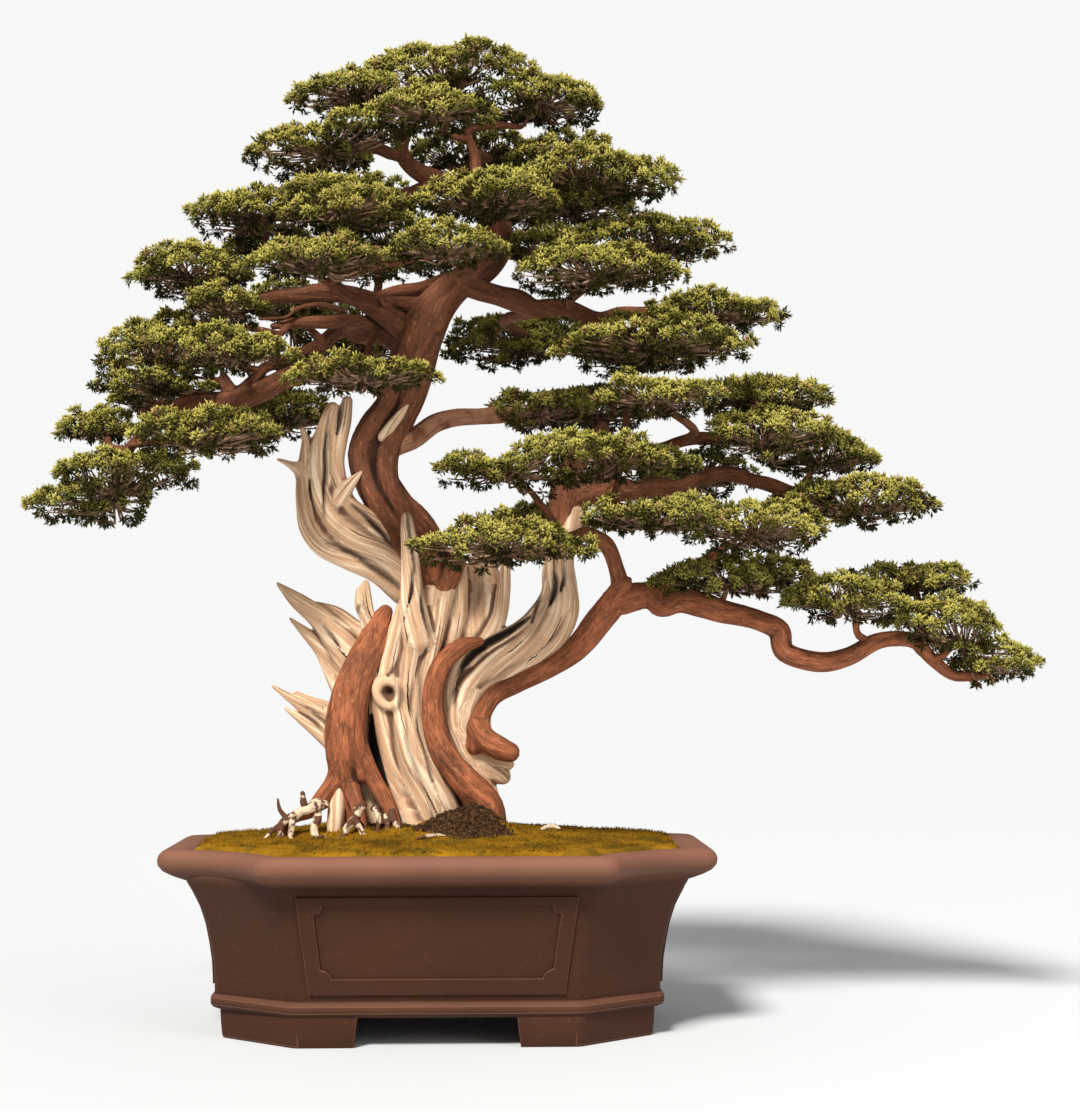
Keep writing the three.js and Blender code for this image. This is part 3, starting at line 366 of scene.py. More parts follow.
class Block:
    """A block of space that wood is built up in and cut away from, on a grid, in millimetres."""

    def __init__(self, low, high, spacing):
        self.low = np.array(low, float)
        self.spacing = spacing
        self.shape = tuple(np.ceil((np.array(high) - self.low) / spacing).astype(int) + 1)
        self.depth = np.full(self.shape, OUTSIDE, np.float32)
        self.along = np.zeros(self.shape, np.float32)
        self.around = np.zeros(self.shape, np.float32)
        # The last two grids mark where the finishes paint shade: the bottoms of furrows, and the walls of
        # slits and hollows.
        self.furrow = np.zeros(self.shape, np.float32)
        self.char = np.zeros(self.shape, np.float32)

    def window(self, low, high, within=None):
        """The part of the grid between two corners, and the places of its points."""
        first = np.maximum(0, np.floor((low - self.low) / self.spacing).astype(int))
        last = np.minimum(self.shape, np.ceil((high - self.low) / self.spacing).astype(int) + 1)
        if within:
            first = np.maximum(first, [s.start for s in within])
            last = np.minimum(last, [s.stop for s in within])
        part = tuple(slice(a, max(a, b)) for a, b in zip(first, last))
        axes = [self.low[n] + np.arange(part[n].start, part[n].stop) * self.spacing for n in range(3)]
        return part, np.meshgrid(*axes, indexing="ij", sparse=True)

    def trace(self, stations, squash=1.0, margin=7.0):
        """How deep each point near a tapered limb lies, with its place along and round the limb."""
        knots = np.asarray(stations, float)
        centres, radii = spline(knots, max(3.5, 0.35 * knots[:, 3].mean()))
        _, normals, binormals = carried_frames(centres)
        reach = (radii + margin)[:, None]
        part, _ = self.window((centres - reach).min(0), (centres + reach).max(0))
        shape = tuple(s.stop - s.start for s in part)
        depth = np.full(shape, OUTSIDE, np.float32)
        along, turn, thick = (np.zeros(shape, np.float32) for _ in range(3))
        walked = 0.0
        for i in range(len(centres) - 1):
            start = centres[i]
            way = (centres[i + 1] - start) * (1, squash, 1)
            length = np.linalg.norm(way)
            grow = max(radii[i], radii[i + 1]) + margin
            inner, (x, y, z) = self.window(np.minimum(start, centres[i + 1]) - grow,
                                           np.maximum(start, centres[i + 1]) + grow, part)
            own = tuple(slice(s.start - p.start, s.stop - p.start) for s, p in zip(inner, part))
            x, y, z = x - start[0], (y - start[1]) * squash, z - start[2]
            share = np.clip((x * way[0] + y * way[1] + z * way[2]) / length ** 2, 0, 1)
            x, y, z = x - share * way[0], y - share * way[1], z - share * way[2]
            girth = radii[i] + share * (radii[i + 1] - radii[i])
            here = np.sqrt(x * x + y * y + z * z) - girth
            better = (here < depth[own]) & (here > -margin * 1.5)
            nearer = here < depth[own]
            depth[own] = np.where(nearer, here, depth[own])
            n, m = normals[i], binormals[i]
            angle = np.arctan2((x * m[0] + y * m[1] + z * m[2])[better],
                               (x * n[0] + y * n[1] + z * n[2])[better])
            so_far = (walked + share * length)[better]
            for grid, value in ((turn, angle), (along, so_far), (thick, girth[better])):
                grid[own][better] = value
            walked += length
        return part, depth, along, turn, thick

    def grow(self, stations, ribs, ridge, twist, seed, blend=5.0):
        """Adds a limb whose skin is furrowed along its length, and melts it into what is there."""
        part, depth, along, turn, thick = self.trace(stations)
        near = np.abs(depth) < 6.5
        angle = turn[near] + twist * along[near] / 100
        field = np.stack([np.cos(angle) * ribs, np.sin(angle) * ribs, along[near] / 80 + seed * 7.3], axis=-1)
        broad = lattice_noise(field * 0.6 + 11, seed)
        furrow = 1 - np.abs(2 * lattice_noise(field * (1.3, 1.3, 1), seed + 5) - 1)
        fine = 1 - np.abs(2 * lattice_noise(field * (3.2, 3.2, 1.4), seed + 9) - 1)
        lift = (broad - 0.5) * 0.9 + (furrow - 0.62) * 0.9 + (fine - 0.62) * 0.25
        depth[near] -= np.clip(lift * ridge * thick[near], -4.5, 4.5)
        was = self.depth[part]
        leads = (depth < was) & near
        share = np.clip(0.5 + 0.5 * (was - depth) / blend, 0, 1)
        self.depth[part] = was * (1 - share) + depth * share - blend * share * (1 - share)
        # The furrow value is high at the bottoms of the furrows, where the finishes paint shade.
        field = np.zeros(depth.shape, np.float32)
        field[near] = np.clip(0.5 - lift, 0, 1)
        self.along[part][leads] = along[leads] + seed * 53
        self.around[part][leads] = (turn[leads] + twist * along[leads] / 100) * 14 + seed * 37
        self.furrow[part][leads] = field[leads]

    def cut(self, stations, squash=1.0, blend=2.0, char=0.9):
        """Cuts a slit or a hollow, and paints shade on its walls."""
        part, depth, *_ = self.trace(stations, squash, 9.0)
        was = self.depth[part]
        share = np.clip(0.5 + 0.5 * (was + depth) / blend, 0, 1)
        self.depth[part] = -depth * (1 - share) + was * share + blend * share * (1 - share)
        # Painted shade, full on the walls of the cut and fading within about 2 mm of them.
        self.char[part] = np.maximum(self.char[part], char * np.clip(1 - (depth - 0.2) / 2.2, 0, 1))

    def ring(self, centre, radius, thick, blend):
        """Raises a round collar of wood that faces the front, with a hole in its middle."""
        centre = np.array(centre, float)
        part, (x, y, z) = self.window(centre - radius - thick - 8, centre + radius + thick + 8)
        across = np.hypot(x - centre[0], (z - centre[2]) * 0.8)
        turn = np.arctan2(z - centre[2], x - centre[0])
        collar = np.hypot(across - radius * (1 + 0.1 * np.cos(2 * turn + 1)), y - centre[1])
        collar = collar - thick * (1 + 0.3 * np.cos(turn - 2.4))
        was = self.depth[part]
        share = np.clip(0.5 + 0.5 * (was - collar) / blend, 0, 1)
        self.depth[part] = was * (1 - share) + collar * share - blend * share * (1 - share)

    def skin(self):
        """The surface of the wood, as points, quads and the grid cell of each point."""
        solid = self.depth < 0
        total = np.zeros(tuple(n - 1 for n in self.shape), np.int8)
        for i, j, k in itertools.product((0, 1), repeat=3):
            total += solid[i:i + total.shape[0], j:j + total.shape[1], k:k + total.shape[2]]
        cells = np.argwhere((total > 0) & (total < 8))
        number = np.full(total.shape, -1, np.int64)
        number[tuple(cells.T)] = np.arange(len(cells))
        place_sum, hits = np.zeros((len(cells), 3)), np.zeros(len(cells))
        for axis in range(3):
            for i, j in itertools.product((0, 1), repeat=2):
                step = np.insert(np.array([i, j]), axis, 0)
                ahead = step.copy()
                ahead[axis] = 1
                first = self.depth[tuple((cells + step).T)]
                second = self.depth[tuple((cells + ahead).T)]
                crossed = (first < 0) != (second < 0)
                share = np.where(crossed, first / np.where(crossed, first - second, 1), 0)
                spot = step + share[:, None] * (ahead - step)
                place_sum += np.where(crossed[:, None], spot, 0)
                hits += crossed
        verts = self.low + (cells + place_sum / hits[:, None]) * self.spacing
        quads = []
        for axis in range(3):
            other, third = (axis + 1) % 3, (axis + 2) % 3
            front = [slice(1, -1)] * 3
            back = [slice(1, -1)] * 3
            front[axis], back[axis] = slice(0, -1), slice(1, None)
            edges = np.argwhere(solid[tuple(front)] != solid[tuple(back)]) + 1
            edges[:, axis] -= 1
            corner = []
            for i, j in ((0, 0), (-1, 0), (-1, -1), (0, -1)):
                cell = edges.copy()
                cell[:, other] += i
                cell[:, third] += j
                corner.append(number[tuple(cell.T)])
            faces = np.stack(corner, axis=-1)
            outward = solid[tuple(edges.T)]
            quads.append(np.where(outward[:, None], faces, faces[:, ::-1]))
        return verts, np.vstack(quads), cells


def settle_skin(verts, quads, rounds):
    """The points of a skin, evened out towards their neighbours a number of times."""
    pairs = np.vstack([quads[:, [0, 1]], quads[:, [1, 2]], quads[:, [2, 3]], quads[:, [3, 0]]])
    count = np.bincount(pairs[:, 0], minlength=len(verts)) + np.bincount(pairs[:, 1], minlength=len(verts))
    eased = verts.copy()
    for _ in range(rounds):
        total = np.stack([np.bincount(pairs[:, 0], eased[pairs[:, 1], n], len(verts))
                          + np.bincount(pairs[:, 1], eased[pairs[:, 0], n], len(verts))
                          for n in range(3)], axis=-1)
        eased = 0.5 * eased + 0.5 * total / np.maximum(count, 1)[:, None]
    return eased


def face_normals_at(verts, quads):
    """A unit normal at each point of a skin."""
    across = np.cross(verts[quads[:, 2]] - verts[quads[:, 0]], verts[quads[:, 3]] - verts[quads[:, 1]])
    total = np.stack([sum(np.bincount(quads[:, c], across[:, n], len(verts)) for c in range(4))
                      for n in range(3)], axis=-1)
    return total / np.maximum(np.linalg.norm(total, axis=1), 1e-9)[:, None]


def carve_piece(name, block, most):
    """Makes the finished wood of a block into a piece with no more than so many triangles."""
    verts, quads, cells = block.skin()
    verts = settle_skin(verts, quads, 1)
    normal = face_normals_at(verts, quads)
    # How far each point lies in a hollow of the skin: the finishes paint shade there, as they do on the walls
    # of slits and hollows.
    dip = ((settle_skin(verts, quads, 14) - verts) * normal).sum(1)
    wide = ((settle_skin(verts, quads, 60) - verts) * normal).sum(1)
    crevice_shade = np.clip(0.5 + dip * 0.42 + wide * 0.12, 0, 1)
    at = tuple(cells.T)
    values = {"along": block.along[at] * MM, "around": block.around[at] * MM, "furrow": block.furrow[at],
              "crevice_shade": crevice_shade, "char": block.char[at]}
    piece = make_mesh(name, place(verts), quads=quads, values=values)
    if len(quads) * 2 > most:
        only(piece)
        thin = piece.modifiers.new("thin", "DECIMATE")
        thin.ratio = most / (len(quads) * 2)
        bpy.ops.object.modifier_apply(modifier=thin.name)
    piece.data.shade_smooth()
    return piece


# ---- shaders -----------------------------------------------------------------------------------
class Field:
    """A shader value that arithmetic can be done on."""

    def __init__(self, finish, socket):
        self.finish = finish
        self.socket = socket

    def math(self, operation, first, second):
        return self.finish.node("ShaderNodeMath", {"operation": operation}, {0: first, 1: second})

    def __add__(self, other):
        return self.math("ADD", self, other)

    def __mul__(self, other):
        return self.math("MULTIPLY", self, other)

    __radd__ = __add__
    __rmul__ = __mul__


class Finish:
    """A procedural material on one principled surface."""

    def __init__(self, name, roughness, specular=0.3):
        self.material = bpy.data.materials.new(name)
        self.material.use_nodes = True
        self.tree = self.material.node_tree
        self.surface = self.tree.nodes["Principled BSDF"]
        self.surface.inputs["Roughness"].default_value = roughness
        self.surface.inputs["Specular IOR Level"].default_value = specular

    def node(self, kind, settings=None, values=None, output=0):
        made = self.tree.nodes.new(kind)
        for key, value in (settings or {}).items():
            setattr(made, key, value)
        for key, value in (values or {}).items():
            self.join(value, made.inputs[key])
        return Field(self, made.outputs[output])

    def join(self, value, socket):
        if isinstance(value, Field):
            self.tree.links.new(value.socket, socket)
        else:
            socket.default_value = value

    def attribute(self, name):
        return self.node("ShaderNodeAttribute", {"attribute_name": name}, output="Fac")

    def place(self):
        return self.node("ShaderNodeTexCoord", output="Object")

    def vector(self, x=0.0, y=0.0, z=0.0):
        return self.node("ShaderNodeCombineXYZ", None, {"X": x, "Y": y, "Z": z})

    def noise(self, vector, scale, detail=4.0, roughness=0.55):
        return self.node("ShaderNodeTexNoise", None,
                         {"Vector": vector, "Scale": scale, "Detail": detail, "Roughness": roughness})

    def ramp(self, factor, stops):
        made = self.tree.nodes.new("ShaderNodeValToRGB")
        elements = made.color_ramp.elements
        while len(elements) < len(stops):
            elements.new(0.5)
        for element, (position, colour) in zip(elements, stops):
            element.position = position
            element.color = (*colour, 1.0)
        self.join(factor, made.inputs[0])
        return Field(self, made.outputs[0])

    def mix(self, factor, first, second):
        """The first colour where the factor is 0, the second where it is 1."""
        first, second = ((*c, 1.0) if isinstance(c, tuple) and len(c) == 3 else c for c in (first, second))
        return self.node("ShaderNodeMix", {"data_type": "RGBA"}, {0: factor, 6: first, 7: second}, output=2)

    def mask(self, value, start, full):
        """0 where a value is at the start, 1 where it is full, with an even rise between."""
        return self.node("ShaderNodeMapRange", None, {0: value, 1: start, 2: full, 3: 0.0, 4: 1.0})

    def bump(self, height, strength, distance):
        return self.node("ShaderNodeBump", None,
                         {"Height": height, "Strength": strength, "Distance": distance})

    def set(self, name, value):
        self.join(value, self.surface.inputs[name])


def scaled(colour, factor=1.0):
    """A colour made darker or lighter."""
    return tuple(min(1.0, c * factor) for c in colour)


def deadwood_finish(settings):
    finish = Finish("bleached_deadwood", 0.7, 0.25)
    place_on = finish.place()
    around, along = finish.attribute("around"), finish.attribute("along")
    furrow, crevice_shade, char = (finish.attribute(key) for key in ("furrow", "crevice_shade", "char"))
    fibre = finish.noise(finish.vector(around * 900.0, along * 20.0), 1.0, 4.0, 0.6)
    streak = finish.noise(finish.vector(around * 210.0, along * 7.0), 1.0, 3.0)
    crack = finish.noise(finish.vector(around * 330.0 + 40.0, along * 10.0), 1.0, 1.5, 0.4)
    patch = finish.noise(place_on, 15.0, 3.0)
    base = finish.ramp(streak, [(0.34, scaled(settings.deadwood_colour, 0.7)),
                                (0.48, scaled(settings.deadwood_colour)),
                                (0.6, scaled(settings.bleached_colour))])
    height = finish.node("ShaderNodeSeparateXYZ", None, {0: place_on}, output="Z")
    grey = finish.mask(patch, 0.53, 0.68) * (0.15 + 0.6 * finish.mask(height, 0.34, 0.5))
    base = finish.mix(grey, base, scaled(settings.weathered_colour))
    base = finish.mix(finish.mask(fibre, 0.43, 0.33) * 0.45, base, scaled(settings.crevice_colour))
    # Painted shade: thin near-black lines in the cracks, then shade at the bottoms of the furrows, in the
    # hollows of the skin, and almost black in slits and hollows.
    base = finish.mix(finish.mask(crack, 0.335, 0.3), base, (0.03, 0.014, 0.008))
    base = finish.mix(finish.mask(furrow, 0.55, 0.95) * 0.5, base, scaled(settings.crevice_colour))
    base = finish.mix(finish.mask(crevice_shade, 0.56, 0.84) * 0.9, base, scaled(settings.crevice_colour))
    base = finish.mix(char, base, (0.012, 0.006, 0.004))
    finish.set("Base Color", base)
    finish.set("Normal", finish.bump(fibre + streak * 0.8 + finish.mask(crack, 0.3, 0.36), 0.6, 0.0013))
    return finish.material


def bark_finish(settings, greyed=False):
    finish = Finish("greyed_bark" if greyed else "live_bark", 0.8, 0.2)
    place_on = finish.place()
    around, along = finish.attribute("around"), finish.attribute("along")
    furrow, crevice_shade = finish.attribute("furrow"), finish.attribute("crevice_shade")
    fibre = finish.noise(finish.vector(around * 620.0, along * 48.0), 1.0, 5.0, 0.65)
    flake = finish.noise(finish.vector(around * 190.0, along * 40.0), 1.0, 5.0, 0.65)
    peel = finish.noise(finish.vector(around * 420.0 + 9.0, along * 110.0), 1.0, 3.0, 0.6)
    patch = finish.noise(place_on, 26.0, 4.0)
    height = finish.node("ShaderNodeSeparateXYZ", None, {0: place_on}, output="Z")
    base = finish.ramp(flake, [(0.34, scaled(settings.bark_colour, 0.55)),
                               (0.5, scaled(settings.bark_colour)),
                               (0.64, scaled(settings.bark_colour, 1.5))])
    base = finish.mix(finish.mask(patch, 0.54, 0.72) * 0.55, base, scaled(settings.old_bark_colour))
    # Darker towards the top, from 0.46 m to 0.62 m up.
    base = finish.mix(finish.mask(height, 0.46, 0.62) * 0.6, base, scaled(settings.old_bark_colour))
    if greyed:
        base = finish.mix(finish.mask(patch, 0.4, 0.5) * 0.75, base, scaled(settings.peeling_colour))
    base = finish.mix(finish.mask(peel, 0.6, 0.69) * 0.7, base, scaled(settings.peeling_colour))
    base = finish.mix(finish.mask(fibre, 0.45, 0.35) * 0.7, base, (0.035, 0.013, 0.007))
    # Painted shade at the bottoms of the furrows and in the hollows of the skin.
    base = finish.mix(finish.mask(furrow, 0.55, 0.95) * 0.5, base, (0.03, 0.012, 0.007))
    base = finish.mix(finish.mask(crevice_shade, 0.55, 0.85) * 0.85, base, (0.02, 0.009, 0.006))
    finish.set("Base Color", base)
    finish.set("Normal", finish.bump(fibre + flake * 1.4 + peel * 0.6, 0.9, 0.002))
    return finish.material


def root_finish(settings):
    """Pale dead roots, brown where the bark still clings to them."""
    finish = Finish("dead_roots", 0.8, 0.2)
    around, along = finish.attribute("around"), finish.attribute("along")
    fibre = finish.noise(finish.vector(around * 700.0, along * 60.0), 1.0, 4.0, 0.6)
    patch = finish.noise(finish.place(), 62.0, 3.0)
    base = finish.mix(finish.mask(patch, 0.47, 0.52), scaled(settings.bleached_colour), (0.14, 0.06, 0.035))
    base = finish.mix(finish.mask(fibre, 0.5, 0.36) * 0.8, base, (0.07, 0.03, 0.017))
    # Painted shade in the hollows of the skin.
    hollow = finish.mask(finish.attribute("crevice_shade"), 0.56, 0.8)
    finish.set("Base Color", finish.mix(hollow, base, (0.03, 0.014, 0.008)))
    finish.set("Normal", finish.bump(fibre + patch, 0.7, 0.0015))
    return finish.material


def spray_finish(settings):
    finish = Finish("juniper_sprays", 0.6, 0.15)
    tip, tint_and_light, shade = finish.attribute("tip"), finish.attribute("tint_and_light"), finish.attribute("shade")
    leaf = finish.mix(tip, scaled(settings.inner_colour), scaled(settings.leaf_colour))
    fresh = finish.mix(tip, scaled(settings.leaf_colour), scaled(settings.tip_colour))
    # Fresh colour where the tint and light value is high: partly fresh growth, partly painted light from
    # above.
    colour = finish.mix(tint_and_light, leaf, fresh)
    colour = finish.mix(finish.attribute("dry"), colour, scaled(settings.dry_colour))
    # Painted shade under the pad and on sprays that face inwards.
    colour = finish.mix(shade, colour, scaled(settings.shade_colour))
    finish.set("Base Color", colour)
    return finish.material


def twig_finish(settings):
    finish = Finish("twig_bark", 0.85, 0.2)
    patch = finish.noise(finish.place(), 120.0, 3.0)
    finish.set("Base Color", finish.ramp(patch, [(0.36, scaled(settings.bark_colour, 0.3)),
                                                 (0.5, scaled(settings.bark_colour, 0.6)),
                                                 (0.66, scaled(settings.bark_colour))]))
    return finish.material


def clay_finish(settings):
    finish = Finish("unglazed_clay", 0.65, 0.12)
    place_on = finish.place()
    cloud = finish.noise(place_on, 8.0, 6.0, 0.6)
    speck = finish.noise(place_on, 380.0, 3.0, 0.7)
    wear_and_highlight = finish.attribute("wear_and_highlight")
    base = finish.mix(cloud, scaled(settings.clay_colour, 0.7),
                      scaled(settings.clay_colour, 1.35))
    # Lighter clay, mixed in for the rubbed lip, for painted light on the lip's top, and for painted
    # highlights along the bead and the rounded edges.
    lit_and_rubbed = finish.mix(cloud, scaled(settings.lip_colour, 0.75),
                        scaled(settings.lip_colour, 1.3))
    base = finish.mix(wear_and_highlight, base, lit_and_rubbed)
    base = finish.mix(finish.mask(speck, 0.62, 0.74) * 0.25, base, scaled(settings.lip_colour, 1.6))
    finish.set("Base Color", base)
    finish.set("Roughness", 0.55 + cloud * 0.2)
    finish.set("Normal", finish.bump(speck + cloud * 2.0, 0.3, 0.0006))
    return finish.material


def moss_finish(settings):
    finish = Finish("gold_moss", 0.95, 0.1)
    place_on = finish.place()
    patch = finish.noise(place_on, 22.0, 4.0)
    fleck = finish.noise(place_on, 260.0, 3.0)
    base = finish.ramp(patch, [(0.32, scaled(settings.moss_colour, 0.45)),
                               (0.5, scaled(settings.moss_colour)),
                               (0.68, scaled(settings.moss_colour, 1.5))])
    green = finish.mask(finish.noise(place_on, 34.0, 3.0), 0.5, 0.62)
    base = finish.mix(green * 0.6, base, (0.07, 0.06, 0.01))
    base = finish.mix(fleck * 0.5, base, scaled(settings.moss_colour, 0.4))
    finish.set("Base Color", base)
    finish.set("Normal", finish.bump(fleck, 0.8, 0.002))
    return finish.material


def soil_finish():
    finish = Finish("dark_soil", 0.95, 0.15)
    grain = finish.noise(finish.place(), 300.0, 4.0, 0.7)
    finish.set("Base Color", finish.ramp(grain, [(0.38, (0.014, 0.007, 0.003)), (0.5, (0.06, 0.028, 0.013)),
                                                 (0.66, (0.17, 0.085, 0.035))]))
    finish.set("Normal", finish.bump(grain, 0.8, 0.002))
    return finish.material


def plain_finish(name, low, high, scale, roughness):
    """A quiet mottled material for the pieces inside the pot."""
    finish = Finish(name, roughness)
    grain = finish.noise(finish.place(), scale, 4.0)
    finish.set("Base Color", finish.mix(grain, low, high))
    finish.set("Normal", finish.bump(grain, 0.4, 0.001))
    return finish.material


# ---- settings ----------------------------------------------------------------------------------
def colour_property(name, description, default):
    return bpy.props.FloatVectorProperty(name=name, description=description, default=default,
                                         subtype="COLOR", min=0.0, max=1.0)


def length_property(name, description, default):
    return bpy.props.FloatProperty(name=name, description=description, default=default,
                                   subtype="DISTANCE", unit="LENGTH", min=0.0)


class BonsaiPotSettings(bpy.types.PropertyGroup):
    clay_colour: colour_property("Clay", "Colour of the pot's walls", (0.054, 0.0205, 0.0112))
    # Lip: the lighter clay of the rubbed lip, also used for painted highlights on the edges.
    lip_colour: colour_property("Lip", "Colour where the clay is rubbed lighter", (0.225, 0.1, 0.066))
    edge_radius: length_property("Edge radius", "How far the clay's edges are rounded", 0.0014)


class BonsaiWoodSettings(bpy.types.PropertyGroup):
    deadwood_colour: colour_property("Deadwood", "Colour of the weather-worn wood", (0.72, 0.44, 0.26))
    bleached_colour: colour_property("Bleached", "Colour of the palest deadwood", (0.96, 0.75, 0.53))
    weathered_colour: colour_property("Weathered", "Grey of the older deadwood", (0.46, 0.275, 0.17))
    # Crevice: used for painted shade in the furrows and hollows, and for the darker grain lines.
    crevice_colour: colour_property("Crevice", "Colour in the furrows", (0.12, 0.05, 0.026))
    bark_colour: colour_property("Bark", "Colour of the live bark", (0.35, 0.115, 0.05))
    old_bark_colour: colour_property("Old bark", "Colour of the older bark", (0.135, 0.06, 0.035))
    peeling_colour: colour_property("Peeling", "Colour of the peeling edges of the bark", (0.62, 0.30, 0.17))
    skin_step: length_property("Skin step", "Size of the faces of the trunk's skin", 0.0017)


class BonsaiFoliageSettings(bpy.types.PropertyGroup):
    inner_colour: colour_property("Inner", "Colour at the foot of a spray", (0.05, 0.036, 0.006))
    leaf_colour: colour_property("Leaf", "Colour of mature foliage", (0.12, 0.118, 0.006))
    dry_colour: colour_property("Dry", "Colour of the few dry sprays", (0.46, 0.27, 0.13))
    tip_colour: colour_property("Tip", "Colour of fresh tips", (0.78, 0.69, 0.17))
    # Shade: painted shade for foliage under a pad.
    shade_colour: colour_property("Shade", "Colour of foliage under a pad", (0.02, 0.014, 0.002))
    bark_colour: colour_property("Twig", "Colour of the twigs", (0.42, 0.25, 0.155))
    spray_length: length_property("Spray length", "Length of one foliage cord", 0.0085)
    spacing: length_property("Spacing", "Distance between clumps of sprays on a pad", 0.0135)


class BonsaiStageSettings(bpy.types.PropertyGroup):
    moss_colour: colour_property("Moss", "Colour of the moss", (0.29, 0.145, 0.006))
    floor_colour: colour_property("Floor", "Colour of the floor", (0.72, 0.752, 0.785))


# ---- pot ---------------------------------------------------------------------------------------
# Half sizes of each plan, where its corners are cut, and how each wall rises: (height, out x, out y).
RIM = {"x": 300, "y": 214, "cx": 185, "cy": 110}
BODY = {"x": 239, "y": 155, "cx": 150, "cy": 90}
BEAD = {"x": 243, "y": 163, "cx": 152, "cy": 92}
FEET = {"x": 233, "y": 160, "cx": 150, "cy": 90}
BODY_FLARE = [(38, 0, 0), (60, 0, 2), (80, 1, 6), (100, 4, 10), (120, 8, 15), (138, 14, 19), (154, 22, 22),
              (166, 29, 25), (174, 32, 27), (186, 32, 27)]
LIP_ROLL = [(164, -36, -36), (168, -25, -25), (172, -15, -15), (177, -6, -6), (183, -1, -1), (189, 0, 0),
            (194, -1.5, -1.5), (198, -5, -5), (200, -10, -10), (200, -24, -24), (198.5, -33, -33),
            (196, -36, -36), (170, -38, -38)]
BEAD_ROLL = [(31, -6, -6), (33, -2, -2), (36, 0, 0), (43, 0, 0), (46, -2, -2), (48, -6, -6), (49, -12, -12)]
FEET_RISE = [(0, -4, -4), (2, -2.5, -2.5), (16, -1, -1), (36, 0, 0)]
FOOT_GAPS = {"front": 82, "side": 52, "slant": 5, "wall": 28}
FRAME = {"low": 55, "high": 157, "band": 15, "top_band": 12, "notch": 10, "rise": 3.4, "sunk": 3.0}
PANEL_HALF = {"front": (133, 146), "side": (74, 79)}


def plan_ring(plan, straight=26, corner=14):
    """Points round a long plan with cut corners, which a dish hollows."""
    x, y, cx, cy = plan["x"], plan["y"], plan["cx"], plan["cy"]
    t = np.linspace(0, 1, corner, endpoint=False)[:, None]
    bend = np.array([(cx + x) / 2 - plan["dish"], -(cy + y) / 2 + plan["dish"]])
    arc = (1 - t) ** 2 * np.array([cx, -y]) + 2 * t * (1 - t) * bend + t ** 2 * np.array([x, -cy])
    back = (1 - t) ** 2 * np.array([x, cy]) + 2 * t * (1 - t) * bend * (1, -1) + t ** 2 * np.array([cx, y])
    s = np.linspace(-1, 1, straight, endpoint=False)[:, None]
    front = np.hstack([s * cx, np.full_like(s, -y)])
    side = np.hstack([np.full_like(s, x), s * cy])
    half = np.vstack([front, arc, side, back])
    return np.vstack([half, -half])


def loft(rings):
    """Quads between rings, with a cap at each end."""
    count, rows = len(rings[0]), len(rings)
    row, col = np.meshgrid(np.arange(rows - 1), np.arange(count), indexing="ij")
    ahead = (col + 1) % count
    quads = np.stack([row * count + col, row * count + ahead, (row + 1) * count + ahead,
                      (row + 1) * count + col], axis=-1).reshape(-1, 4)
    verts = np.vstack([*rings, rings[0].mean(0), rings[-1].mean(0)])
    loop = np.arange(count)
    ahead = (loop + 1) % count
    top = (rows - 1) * count
    tris = np.vstack([np.stack([np.full(count, len(verts) - 2), ahead, loop], axis=-1),
                      np.stack([np.full(count, len(verts) - 1), top + loop, top + ahead], axis=-1)])
    return verts, quads, tris


def join_parts(name, parts, values=None):
    """One mesh object from several sets of points, quads and triangles."""
    offset, verts, tris, quads = 0, [], [], []
    for part_verts, part_quads, part_tris in parts:
        verts.append(part_verts)
        quads.append(part_quads + offset)
        tris.append(part_tris + offset)
        offset += len(part_verts)
    return make_mesh(name, place(np.vstack(verts)), np.vstack(tris), np.vstack(quads), values)


def resize(x, y, z, height):
    """Scales what is selected about the pot's middle at a height."""
    bpy.ops.transform.resize(value=(x, y, z), center_override=POT_CENTRE + Vector((0, 0, height * MM)))


def select_points(piece, wanted):
    """Selects the points of the piece in edit mode that a test on millimetres from the foot picks."""
    bpy.ops.mesh.select_mode(type="VERT")
    bpy.ops.mesh.select_all(action="DESELECT")
    bpy.ops.object.mode_set(mode="OBJECT")
    for vertex in piece.data.vertices:
        spot = (piece.matrix_world @ vertex.co - POT_CENTRE) / MM
        vertex.select = bool(wanted(spot))
    bpy.ops.object.mode_set(mode="EDIT")


